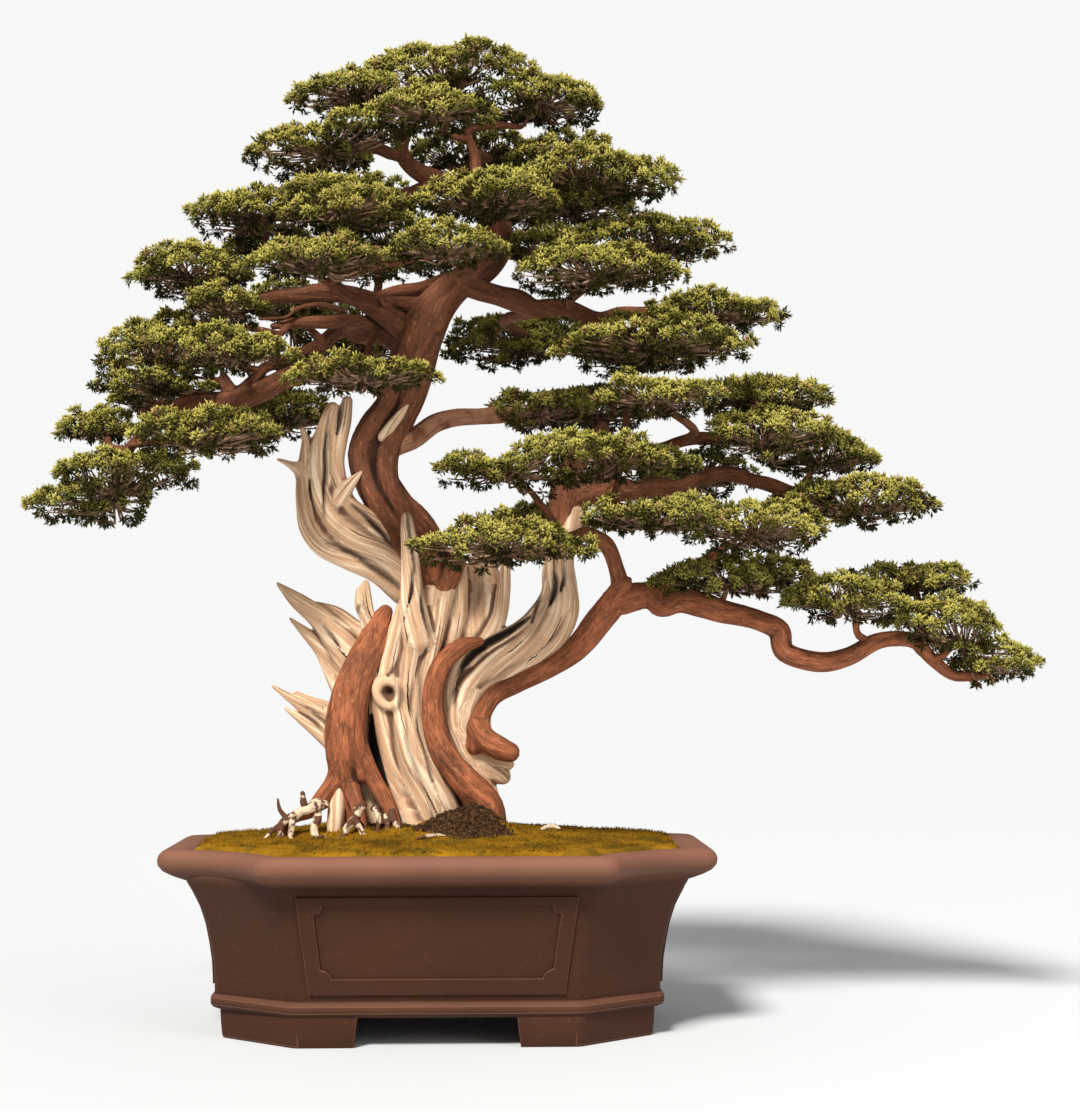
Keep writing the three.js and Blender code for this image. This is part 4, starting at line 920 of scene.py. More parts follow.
def raised_plate(name, plan, levels, hollow, easing):
    """A plate with cut corners, extruded up through the levels of its wall and closed below."""
    stretch = (plan["x"] - plan["cx"]) / (plan["y"] - plan["cy"])
    height, out_x, out_y = levels[0]
    bpy.ops.object.select_all(action="DESELECT")
    bpy.ops.mesh.primitive_plane_add(size=2 * MM, location=POT_CENTRE + Vector((0, 0, height * MM)))
    plate = bpy.context.object
    plate.name = name
    bpy.ops.object.mode_set(mode="EDIT")
    resize(plan["x"] / stretch, plan["y"], 1, height)
    bpy.ops.mesh.bevel(offset=(plan["y"] - plan["cy"]) * MM, segments=12 if hollow else 1,
                       profile=hollow or 0.5, affect="VERTICES", clamp_overlap=False)
    resize(stretch, 1, 1, height)
    select_points(plate, lambda at: max(abs(at.x) - plan["x"], abs(at.y) - plan["y"]) > -0.5)
    bpy.ops.mesh.bevel(offset=easing * MM, segments=6, profile=0.5, affect="VERTICES", clamp_overlap=True)
    bpy.ops.mesh.select_all(action="SELECT")
    resize((plan["x"] + out_x) / plan["x"], (plan["y"] + out_y) / plan["y"], 1, height)
    for (low, x0, y0), (high, x1, y1) in zip(levels, levels[1:]):
        bpy.ops.mesh.extrude_region_move(TRANSFORM_OT_translate={"value": (0, 0, (high - low) * MM)})
        resize((plan["x"] + x1) / (plan["x"] + x0), (plan["y"] + y1) / (plan["y"] + y0), 1, high)
    bpy.ops.mesh.select_mode(type="EDGE")
    bpy.ops.mesh.select_all(action="DESELECT")
    bpy.ops.mesh.select_non_manifold()
    bpy.ops.mesh.edge_face_add()
    bpy.ops.mesh.select_all(action="SELECT")
    bpy.ops.mesh.normals_make_consistent(inside=False)
    bpy.ops.object.mode_set(mode="OBJECT")
    return plate


def gap_block(low, high, slant):
    """A block that is wider at its foot by a slant, to cut a gap between the feet with."""
    low, high = Vector(low), Vector(high)
    size = high - low
    bpy.ops.object.select_all(action="DESELECT")
    bpy.ops.mesh.primitive_cube_add(size=MM, location=POT_CENTRE + (low + high) / 2 * MM, scale=size)
    block = bpy.context.object
    bpy.ops.object.mode_set(mode="EDIT")
    select_points(block, lambda at: at.z < (low.z + high.z) / 2)
    resize(1 + 2 * slant[0] / size.x, 1 + 2 * slant[1] / size.y, 1, low.z)
    bpy.ops.object.mode_set(mode="OBJECT")
    return block


def pot_feet():
    """Four corner feet, hollow behind, with slanting ends towards the gaps."""
    feet = raised_plate("pot_feet", FEET, FEET_RISE, 0, 5)
    front, side, slant, wall = (FOOT_GAPS[key] for key in ("front", "side", "slant", "wall"))
    inner = {key: FEET[key] - wall * (0.5 if key in ("cx", "cy") else 1) for key in FEET}
    cutters = [gap_block((-front, -300, -1), (front, 300, 40), (slant, 0)),
               gap_block((-400, -side, -1), (400, side, 40), (0, slant)),
               raised_plate("pot_feet_hollow", inner, [(-1, 0, 0), (31, 0, 0)], 0, 5)]
    for cutter in cutters:
        only(feet)
        cut = feet.modifiers.new("cut", "BOOLEAN")
        cut.operation = "DIFFERENCE"
        cut.object = cutter
        bpy.ops.object.modifier_apply(modifier=cut.name)
        bpy.data.objects.remove(cutter)
    return feet


def wall_reach(height, side):
    """How far the body's wall stands out at a height, on the front or on the end of the pot."""
    levels = np.array(BODY_FLARE)
    start = BODY["x"] if side else BODY["y"]
    return start + np.interp(height, levels[:, 0], levels[:, 1 if side else 2])


def panel_frame(side, facing):
    """A flat raised band round a sunk panel with notched corners, laid on a wall of the pot."""
    low, high = FRAME["low"], FRAME["high"]
    half_low, half_high = PANEL_HALF["side" if side else "front"]
    bpy.ops.object.select_all(action="DESELECT")
    bpy.ops.mesh.primitive_plane_add(size=2 * MM, location=POT_CENTRE + Vector((0, 0, low * MM)))
    frame_piece = bpy.context.object
    bpy.ops.object.mode_set(mode="EDIT")
    resize(half_low, (high - low) / 2, 1, low)
    bpy.ops.transform.translate(value=(0, (high - low) / 2 * MM, 0))
    select_points(frame_piece, lambda at: at.y > 1)
    resize(half_high / half_low, 1, 1, low)
    bpy.ops.mesh.select_mode(type="FACE")
    bpy.ops.mesh.select_all(action="SELECT")
    bpy.ops.mesh.inset(thickness=FRAME["band"] * MM)
    resize(1, 1 + 2 * (FRAME["band"] - FRAME["top_band"]) / (high - low - 2 * FRAME["band"]), 1, low)
    bpy.ops.mesh.delete(type="ONLY_FACE")
    select_points(frame_piece, lambda at: abs(at.x) < half_low - 4)
    bpy.ops.mesh.bevel(offset=FRAME["notch"] * MM, segments=7, profile=0.08, affect="VERTICES",
                       clamp_overlap=False)
    bpy.ops.mesh.select_mode(type="EDGE")
    for part in range(1, 16):
        bpy.ops.mesh.select_all(action="SELECT")
        height = (high - low) * part / 16 * MM
        bpy.ops.mesh.bisect(plane_co=POT_CENTRE + Vector((0, height, 0)), plane_no=(0, 1, 0))
    bpy.ops.object.mode_set(mode="OBJECT")
    for vertex in frame_piece.data.vertices:
        up = low + vertex.co.y / MM
        out = (wall_reach(up, side) + FRAME["rise"]) * MM
        across = vertex.co.x
        spot = (facing * out, facing * across) if side else (-facing * across, facing * out)
        vertex.co = Vector((*spot, vertex.co.z + vertex.co.y))
    only(frame_piece)
    thick = frame_piece.modifiers.new("thick", "SOLIDIFY")
    thick.thickness = (FRAME["rise"] + FRAME["sunk"]) * MM
    thick.offset = -1
    bpy.ops.object.mode_set(mode="EDIT")
    bpy.ops.mesh.select_all(action="SELECT")
    bpy.ops.mesh.normals_make_consistent(inside=False)
    bpy.ops.object.mode_set(mode="OBJECT")
    normal = frame_piece.data.polygons[0].normal
    if normal[0 if side else 1] * facing < 0:
        frame_piece.data.flip_normals()
    bpy.ops.object.modifier_apply(modifier=thick.name)
    return frame_piece


def on_edges(piece):
    """1 at the points that lie only on the narrow faces of rounded edges, 0 elsewhere."""
    mesh = piece.data
    shortest = np.zeros(len(mesh.vertices))
    for face in mesh.polygons:
        corners = [mesh.vertices[index].co for index in face.vertices]
        narrow = min((a - b).length for a, b in zip(corners, corners[1:] + corners[:1]))
        for index in face.vertices:
            shortest[index] = max(shortest[index], narrow)
    return (shortest < 0.8 * MM).astype(float)


class BONSAI_OT_pot(bpy.types.Operator):
    """Make the clay pot: walls, rolled lip, panel frames, base bead and feet"""
    bl_idname = "bonsai.pot"
    bl_label = "Clay Pot"

    def execute(self, context):
        settings = context.scene.bonsai_pot
        piece = raised_plate("pot_clay", BODY, BODY_FLARE, 0, 7)
        parts = [raised_plate("pot_lip", RIM, LIP_ROLL, 0.14, 26), pot_feet(),
                 raised_plate("pot_bead", BEAD, BEAD_ROLL, 0, 7)]
        parts += [panel_frame(side, facing) for side, facing in itertools.product((False, True), (-1, 1))]
        only(piece)
        for part in parts:
            part.select_set(True)
        bpy.ops.object.join()
        bpy.ops.object.transform_apply(location=True, rotation=True, scale=True)
        rounding = piece.modifiers.new("rounding", "BEVEL")
        rounding.width = settings.edge_radius
        rounding.segments = 3
        rounding.limit_method = "ANGLE"
        rounding.angle_limit = math.radians(32)
        rounding.use_clamp_overlap = True
        bpy.ops.object.modifier_apply(modifier=rounding.name)
        co = np.zeros(len(piece.data.vertices) * 3, np.float32)
        piece.data.vertices.foreach_get("co", co)
        height = (co.reshape(-1, 3)[:, 2] - POT_CENTRE.z) / MM
        # The lip grows lighter towards its top, partly as rubbed clay and partly as painted light from above;
        # a painted highlight runs along the top of the bead at 45 mm, and painted highlights with wear lie on
        # the narrow faces of rounded edges.
        lip = 0.6 * np.clip((height - 168) / 12, 0, 1) + 0.4 * np.clip((height - 184) / 14, 0, 1)
        edge = np.maximum(0.55 * np.clip(1 - np.abs(height - 45) / 4, 0, 1), 0.8 * on_edges(piece))
        piece.data.attributes.new("wear_and_highlight", "FLOAT", "POINT").data.foreach_set(
            "value", np.maximum(lip, edge).astype(np.float32))
        smooth_by_angle(piece, 35)
        settle(piece, clay_finish(settings), ["pot"])
        return {"FINISHED"}


# ---- filling -----------------------------------------------------------------------------------
MOSS_PLAN = {"x": 263, "y": 180, "cx": 160, "cy": 98, "dish": 6}
MOUND = {"x": -25, "y": 10, "height": 23, "spread_x": 150, "spread_y": 110}
BARE = [(0, -12, 84, 60), (26, -66, 52, 30)]
SOIL_HEAPS = [(46, -50, 26, 28), (14, -60, 15, 25), (-26, -64, 4, 24)]
GROUND = 203.0
MOSS_RINGS, MOSS_BLADES = 54, 18000


def bare_ground(x, y):
    """1 on the dark soil round the foot of the trunk, 0 on the moss."""
    ragged = layered_noise(np.stack([x / 18, y / 18, np.zeros_like(x)], axis=-1), 3, 4)
    reach = np.min([np.hypot((x - at_x) / wide, (y - at_y) / deep)
                    for at_x, at_y, wide, deep in BARE], axis=0)
    return np.clip((1.0 + (ragged - 0.5) * 0.9 - reach) / 0.16, 0, 1)


def ground_height(x, y):
    """How high the mounded soil and moss stand at each place."""
    swell = MOUND["height"] * np.exp(-((x - MOUND["x"]) / MOUND["spread_x"]) ** 2
                                     - ((y - MOUND["y"]) / MOUND["spread_y"]) ** 2)
    for heap_x, heap_y, high, spread in SOIL_HEAPS:
        swell = swell + high * np.exp(-((x - heap_x) ** 2 + (y - heap_y) ** 2) / spread ** 2)
    lumps = layered_noise(np.stack([x / 26, y / 26, np.ones_like(x)], axis=-1), 3, 8)
    return GROUND + swell + (lumps - 0.5) * 7


class BONSAI_OT_filling(bpy.types.Operator):
    """Make the moss with its nap, the bare soil round the trunk, and finish what lies inside the pot"""
    bl_idname = "bonsai.filling"
    bl_label = "Moss and Soil"

    def execute(self, context):
        settings = context.scene.bonsai_stage
        self.make_moss(settings)
        self.make_soil()
        hidden = {"drainage_gravel": plain_finish("grit", (0.16, 0.12, 0.09), (0.4, 0.33, 0.27), 90.0, 0.9),
                  "drain_screen_left": plain_finish("black_mesh", (0.02, 0.02, 0.02), (0.04, 0.04, 0.04),
                                                    200.0, 0.6)}
        hidden["drain_screen_right"] = hidden["drain_screen_left"]
        for node, material in hidden.items():
            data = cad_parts[node].data
            data.materials.clear()
            data.materials.append(material)
        return {"FINISHED"}

    def make_moss(self, settings):
        edge = plan_ring(MOSS_PLAN)
        rings = []
        for reach in np.linspace(0.03, 1.0, MOSS_RINGS):
            x, y = edge[:, 0] * reach, edge[:, 1] * reach
            z = ground_height(x, y) - 6 * bare_ground(x, y)
            z -= 7 * np.clip((reach - 0.955) / 0.045, 0, 1) ** 2
            rings.append(np.stack([x, y, z], axis=-1))
        skirt = np.hstack([edge, np.full((len(edge), 1), 186.0)])
        body = loft([*rings, skirt])
        rng = np.random.default_rng(5)
        x = rng.uniform(-MOSS_PLAN["x"], MOSS_PLAN["x"], MOSS_BLADES)
        y = rng.uniform(-MOSS_PLAN["y"], MOSS_PLAN["y"], MOSS_BLADES)
        inside = (np.abs(x) < 258) & (np.abs(y) < 175)
        inside &= np.abs(x) / 2.55 + np.abs(y) / 1.62 < 158
        inside &= bare_ground(x, y) < rng.uniform(0.05, 0.7, MOSS_BLADES)
        x, y = x[inside], y[inside]
        root = np.stack([x, y, ground_height(x, y) - 1.0], axis=-1)
        height = rng.uniform(2.2, 5.0, len(x))[:, None]
        lean = rng.normal(0, 0.45, (len(x), 2))
        tip = root + np.hstack([lean * height, height])
        spin = rng.uniform(0, 2 * math.pi, len(x))
        corners = [root + np.stack([np.cos(spin + a), np.sin(spin + a), 0 * spin], axis=-1) * 0.9
                   for a in (0, 2 * math.pi / 3, 4 * math.pi / 3)]
        verts = np.stack([*corners, tip], axis=1).reshape(-1, 3)
        pattern = np.array([(0, 1, 3), (1, 2, 3), (2, 0, 3), (0, 2, 1)])
        tris = (np.arange(len(x))[:, None, None] * 4 + pattern).reshape(-1, 3)
        piece = join_parts("moss_carpet", [body, (verts, np.zeros((0, 4), int), tris)])
        piece.data.shade_smooth()
        settle(piece, moss_finish(settings), ["moss"])

    def make_soil(self):
        rng = np.random.default_rng(9)
        angle = np.linspace(0, 2 * math.pi, 90, endpoint=False)
        cube = np.array(list(itertools.product((-1, 1), repeat=3)), float)
        faces = np.array([(0, 1, 3, 2), (4, 6, 7, 5), (0, 4, 5, 1), (2, 3, 7, 6), (0, 2, 6, 4), (1, 5, 7, 3)])
        parts = []
        for at_x, at_y, wide, deep in BARE:
            rings = []
            for reach in np.linspace(0.02, 1.25, 34):
                x, y = at_x + np.cos(angle) * wide * reach, at_y + np.sin(angle) * deep * reach
                grit = layered_noise(np.stack([x / 4, y / 4, 0 * x], axis=-1), 2, 2)
                rings.append(np.stack([x, y, ground_height(x, y) - 4.4 + grit * 4.0], axis=-1))
            parts.append(loft([*rings, rings[-1] * (1, 1, 0) + (0, 0, 190)]))
            for _ in range(int(wide * deep / 4.5)):
                turn, reach = rng.uniform(0, 2 * math.pi), math.sqrt(rng.uniform(0, 1.1))
                x, y = at_x + math.cos(turn) * wide * reach, at_y + math.sin(turn) * deep * reach
                z = ground_height(np.array([x]), np.array([y]))[0] - 2.0
                crumb = cube * rng.uniform(0.6, 2.4, 3) + rng.normal(0, 0.4, (8, 3))
                parts.append((crumb + (x, y, z), faces, np.zeros((0, 3), int)))
        piece = join_parts("soil_bed", parts)
        smooth_by_angle(piece, 50)
        settle(piece, soil_finish(), ["soil"])


# ---- trunk and branches ------------------------------------------------------------------------
DEADWOOD_SPACE = ((-202, -64, 186), (214, 78, 712))
ROOT_SPACE = ((-204, -112, 188), (142, -30, 262))
BARK_SPACE = ((-206, -58, 192), (216, 66, 1064))
ROOT_STEP, BRANCH_STEP = 1.35, 1.8
MOST_TRIANGLES = {"deadwood": 125000, "roots": 30000, "live_bark": 92000, "branch": 20000}
STEM_SIDES = 9


def rod(stations, sides, seed):
    """A thin round stem as points, quads, ends, and the values that the bark's finish reads."""
    centres, radii = spline(stations, 6.0)
    _, normals, binormals = carried_frames(centres)
    along = np.concatenate([[0], np.cumsum(np.linalg.norm(np.diff(centres, axis=0), axis=1))])
    angle = np.linspace(0, 2 * math.pi, sides, endpoint=False)
    knobs = layered_noise(np.stack([np.repeat(along / 7, sides), np.tile(np.cos(angle) * 1.5, len(along)),
                                    np.full(len(along) * sides, seed * 3.1)], axis=-1), 2, 5)
    reach = radii[:, None] * (0.75 + 0.6 * knobs.reshape(-1, sides))
    ring = np.cos(angle)[None, :, None] * normals[:, None] + np.sin(angle)[None, :, None] * binormals[:, None]
    verts, quads, tris = loft(list(centres[:, None] + ring * reach[..., None]))
    # The furrow value is high between the knobs, where the bark's finish paints shade; the value for shade in
    # hollows stays too low to paint any.
    values = {"along": np.append(np.repeat(along, sides), [0, along[-1]]) * MM + seed,
              "around": np.append(np.tile(angle * 5, len(along)), [0, 0]) * MM + seed,
              "furrow": np.append(1 - knobs, [0.5, 0.5]), "crevice_shade": np.full(len(verts), 0.5),
              "char": np.zeros(len(verts))}
    return (verts, quads, tris), values


def gnarled(stations, seed, pitch, crook):
    """A limb with small crooks and swellings put in between its stations."""
    rng = np.random.default_rng(seed)
    knots = np.array(stations, float)
    out = [knots[0]]
    for before, after in zip(knots[:-1], knots[1:]):
        pieces = max(1, int(np.linalg.norm(after[:3] - before[:3]) / pitch))
        for part in range(1, pieces):
            spot = before + (after - before) * part / pieces
            spot[:3] += rng.normal(0, crook, 3) * spot[3]
            spot[3] *= rng.uniform(0.85, 1.22)
            out.append(spot)
        out.append(after)
    return out


def add_stems(piece, stems):
    """Joins round stems to a piece of wood."""
    if not stems:
        return piece
    parts = [rod(stem, STEM_SIDES, 3 + index) for index, stem in enumerate(stems)]
    values = {key: np.concatenate([value[key] for _, value in parts]) for key in parts[0][1]}
    extra = join_parts(piece.name + "_stems", [part for part, _ in parts], values)
    extra.data.shade_smooth()
    only(piece)
    extra.select_set(True)
    bpy.ops.object.join()
    return piece


class BONSAI_OT_trunk(bpy.types.Operator):
    """Grow the trunk: bleached deadwood, live veins, the upper trunk and the surface roots"""
    bl_idname = "bonsai.trunk"
    bl_label = "Trunk"

    def execute(self, context):
        settings = context.scene.bonsai_wood
        step = settings.skin_step / MM
        dead = Block(*DEADWOOD_SPACE, step)
        for index, stations in enumerate(DEADWOOD.values()):
            dead.grow(stations, 1.25, 0.15, 0.9, index)
        dead.ring(**KNOT_EYE)
        for index, (stations, squash, char) in enumerate(HOLLOWS):
            slit = max(station[3] for station in stations) < 8
            dead.cut(gnarled(stations, index, 16, 0.35) if slit else stations, squash, 2.0, char)
        piece = carve_piece("trunk_deadwood", dead, MOST_TRIANGLES["deadwood"])
        settle(piece, deadwood_finish(settings), ["trunk"])
        roots = Block(*ROOT_SPACE, ROOT_STEP)
        for index, stations in enumerate(SURFACE_ROOTS):
            thin = [(x, y, z, radius * 0.8) for x, y, z, radius in stations]
            roots.grow(gnarled(thin, 70 + index, 7, 0.42), 1.2, 0.35, 0.5, 60 + index, 1.5)
        piece = carve_piece("surface_roots", roots, MOST_TRIANGLES["roots"])
        settle(piece, root_finish(settings), ["trunk"])
        live = Block(*BARK_SPACE, step * 1.05)
        for index, stations in enumerate(LIVE_WOOD.values()):
            live.grow(gnarled(stations, 200 + index, 24, 0.07), 1.5, 0.17, 0.5, 30 + index, 6.0)
        piece = carve_piece("trunk_live_bark", live, MOST_TRIANGLES["live_bark"])
        add_stems(piece, TRUNK_SHOOTS + stems_of("trunk"))
        settle(piece, bark_finish(settings), ["trunk"])
        return {"FINISHED"}


class BONSAI_OT_branches(bpy.types.Operator):
    """Grow the primary branches with the stems that carry the foliage"""
    bl_idname = "bonsai.branches"
    bl_label = "Branches"

    def execute(self, context):
        settings = context.scene.bonsai_wood
        live, greyed = bark_finish(settings), bark_finish(settings, True)
        for number, (name, limbs) in enumerate(BRANCHES.items()):
            spots = np.array([station for limb in limbs for station in limb], float)
            low, high = (spots[:, :3] - spots[:, 3:]).min(0), (spots[:, :3] + spots[:, 3:]).max(0)
            block = Block(low - 14, high + 14, BRANCH_STEP)
            for index, stations in enumerate(limbs):
                block.grow(gnarled(stations, 12 * number + index, 20, 0.22), 1.3, 0.26, 0.5,
                           130 + 12 * number + index, 4.0)
            piece = carve_piece(name + "_bark", block, MOST_TRIANGLES["branch"])
            add_stems(piece, stems_of(name))
            settle(piece, greyed if name in GREYED_BRANCHES else live, [name])
        return {"FINISHED"}


# ---- foliage -----------------------------------------------------------------------------------
SPRAY_KINDS, SPRAY_CORDS = 7, 6
SPRAYS_ON_TOP, SPRAYS_BELOW = 12, 6
TWIGS_AT_MOST = 100


def pad_nodes():
    """The names of all the foliage pads."""
    return sorted(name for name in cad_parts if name.startswith("foliage_"))


def pad_surface(name):
    """Corner points, normals and areas of a pad's faces, in millimetres from the pot's foot."""
    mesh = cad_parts[name].data
    co = np.zeros(len(mesh.vertices) * 3, np.float32)
    mesh.vertices.foreach_get("co", co)
    co = (co.reshape(-1, 3) - np.array(POT_CENTRE)) / MM
    mesh.calc_loop_triangles()
    tris = np.zeros(len(mesh.loop_triangles) * 3, np.int32)
    mesh.loop_triangles.foreach_get("vertices", tris)
    corners = co[tris.reshape(-1, 3)]
    normal = np.cross(corners[:, 1] - corners[:, 0], corners[:, 2] - corners[:, 0])
    area = np.linalg.norm(normal, axis=1)
    return corners, normal / np.maximum(area, 1e-9)[:, None], area / 2


def lobe_centres(name):
    """Where the stems reach into a pad: one place for each lobe."""
    corners, _, area = pad_surface(name)
    middle = corners.mean(1)
    size = middle.max(0) - middle.min(0)
    count = 1 + int(size[0] > 185) + int(size[0] > 300)
    seeds = middle.min(0) + size * (np.arange(count)[:, None] + 0.5) / count
    seeds[:, 1] = np.interp(seeds[:, 0], np.sort(middle[:, 0]), middle[np.argsort(middle[:, 0]), 1])
    for _ in range(8):
        owner = np.linalg.norm((middle[:, None] - seeds[None])[:, :, :2], axis=2).argmin(1)
        seeds = np.array([np.average(middle[owner == k], axis=0, weights=area[owner == k] + 1e-6)
                          if (owner == k).any() else seeds[k] for k in range(count)])
    return seeds


def wood_points():
    """Every point that a stem may grow from, with the name of its branch."""
    paths = [("trunk", LIVE_WOOD["upper_trunk"][6:])] + [("trunk", shoot) for shoot in TRUNK_SHOOTS]
    paths += [(name, limb) for name, limbs in BRANCHES.items() for limb in limbs]
    names, points = [], []
    for name, stations in paths:
        centres, radii = spline(stations, 6.0)
        names += [name] * len(centres)
        points.append(np.hstack([centres, radii[:, None]]))
    return names, np.vstack(points)


def stem_routes():
    """A stem for each lobe of each pad, as (branch, pad, stations)."""
    names, points = wood_points()
    routes = []
    for pad in pad_nodes():
        for target in lobe_centres(pad):
            target = target - (0, 0, 9)
            apart = np.linalg.norm((points[:, :3] - target) * (0.8, 0.8, 1.2), axis=1) + 0.6 * np.maximum(
                0, points[:, 2] - target[2])
            start = points[apart.argmin()]
            way = target - start[:3]
            span = np.linalg.norm(way)
            sway = np.cross(way, (0, 0, 1)) * (0.16 if len(routes) % 2 else -0.16)
            first = start[:3] + way * (0.3, 0.3, 0.2) + sway
            second = start[:3] + way * (0.55, 0.6, 0.62) + sway * 0.4
            third = start[:3] + way * (0.8, 0.82, 0.95) - sway * 0.3
            thick = min(start[3] * 0.75, 3.2 + span * 0.018)
            routes.append((names[apart.argmin()], pad, [
                (*start[:3], thick), (*first, thick * 0.9), (*second, thick * 0.8), (*third, thick * 0.65),
                (*target, thick * 0.45)]))
    return routes


def stems_of(carrier):
    """The stems that grow from one branch, or from the trunk."""
    return [stations for name, _, stations in stem_routes() if name == carrier]


def spray_shape(rng, cords):
    """A fan of small pointed cords round a stem: points, faces, and how far out each point is."""
    verts, tips = [], []
    for number in range(cords):
        turn = 2.4 * number + rng.normal(0, 0.3)
        spread = 0.15 + 1.15 * ((number + 0.5) / cords) ** 0.7
        out = np.array([math.cos(turn) * math.sin(spread), math.sin(turn) * math.sin(spread),
                        math.cos(spread)])
        across = np.cross(out, (0.21, 0.33, 0.92))
        across /= np.linalg.norm(across)
        other = np.cross(out, across)
        length = rng.uniform(0.7, 1.15)
        verts += [out * 0.05, out * length * 0.58 + 0.15 * across, out * length * 0.62 - 0.15 * across,
                  out * length + 0.14 * other]
        tips += [0.0, 0.5, 0.5, 1.0]
    pattern = np.array([(0, 1, 2), (0, 2, 3), (0, 3, 1), (1, 3, 2)])
    tris = (np.arange(cords)[:, None, None] * 4 + pattern).reshape(-1, 3)
    return np.array(verts), tris, np.array(tips)


def scattered_clumps(rng, corners, normals, area, spacing):
    """Places for clumps over a pad, no two too close, fewer underneath, with their normals."""
    share = np.where(normals[:, 2] > -0.3, 1.0, 0.3)
    weight = area * share
    count = int(weight.sum() / spacing ** 2 * 2.6)
    pick = rng.choice(len(area), count, p=weight / weight.sum())
    a, b = rng.uniform(0, 1, (2, count))
    flip = a + b > 1
    a, b = np.where(flip, 1 - a, a), np.where(flip, 1 - b, b)
    tri = corners[pick]
    point = tri[:, 0] + a[:, None] * (tri[:, 1] - tri[:, 0]) + b[:, None] * (tri[:, 2] - tri[:, 0])
    kept = []
    for index in range(count):
        if not kept or np.min(np.sum((point[kept] - point[index]) ** 2, axis=1)) > (spacing * 0.8) ** 2:
            kept.append(index)
    return point[kept], normals[pick][kept]


def unit(vectors):
    """The same directions, one long."""
    return vectors / np.maximum(np.linalg.norm(vectors, axis=1), 1e-9)[:, None]


def twig_mesh(rng, centre, ends):
    """Thin three-sided twigs that fan out from a stem's end, as points and faces."""
    verts, tris = [], []
    for end in ends:
        low = min(centre[2], end[2]) - 1
        first = centre + (end - centre) * 0.35 + rng.normal(0, 2.5, 3)
        second = centre + (end - centre) * 0.75 + rng.normal(0, 3, 3)
        first[2], second[2] = low + rng.normal(0, 2), (low + end[2]) / 2 + rng.normal(0, 2)
        path = [centre, first, second, end]
        for k, radius in enumerate((2.1, 1.5, 1.0)):
            way = path[k + 1] - path[k]
            across = np.cross(way, (0.2, 0.3, 0.9))
            across /= np.linalg.norm(across) + 1e-9
            other = np.cross(way, across)
            other /= np.linalg.norm(other) + 1e-9
            base = len(verts)
            for at, thick in ((path[k], radius), (path[k + 1], radius * 0.7)):
                for corner in range(3):
                    a = corner * 2 * math.pi / 3
                    verts.append(at + thick * (math.cos(a) * across + math.sin(a) * other))
            for corner in range(3):
                n = (corner + 1) % 3
                tris += [(base + corner, base + n, base + 3 + n),
                         (base + corner, base + 3 + n, base + 3 + corner)]
            tris += [(base, base + 2, base + 1), (base + 3, base + 4, base + 5)]
    return np.array(verts), np.array(tris)


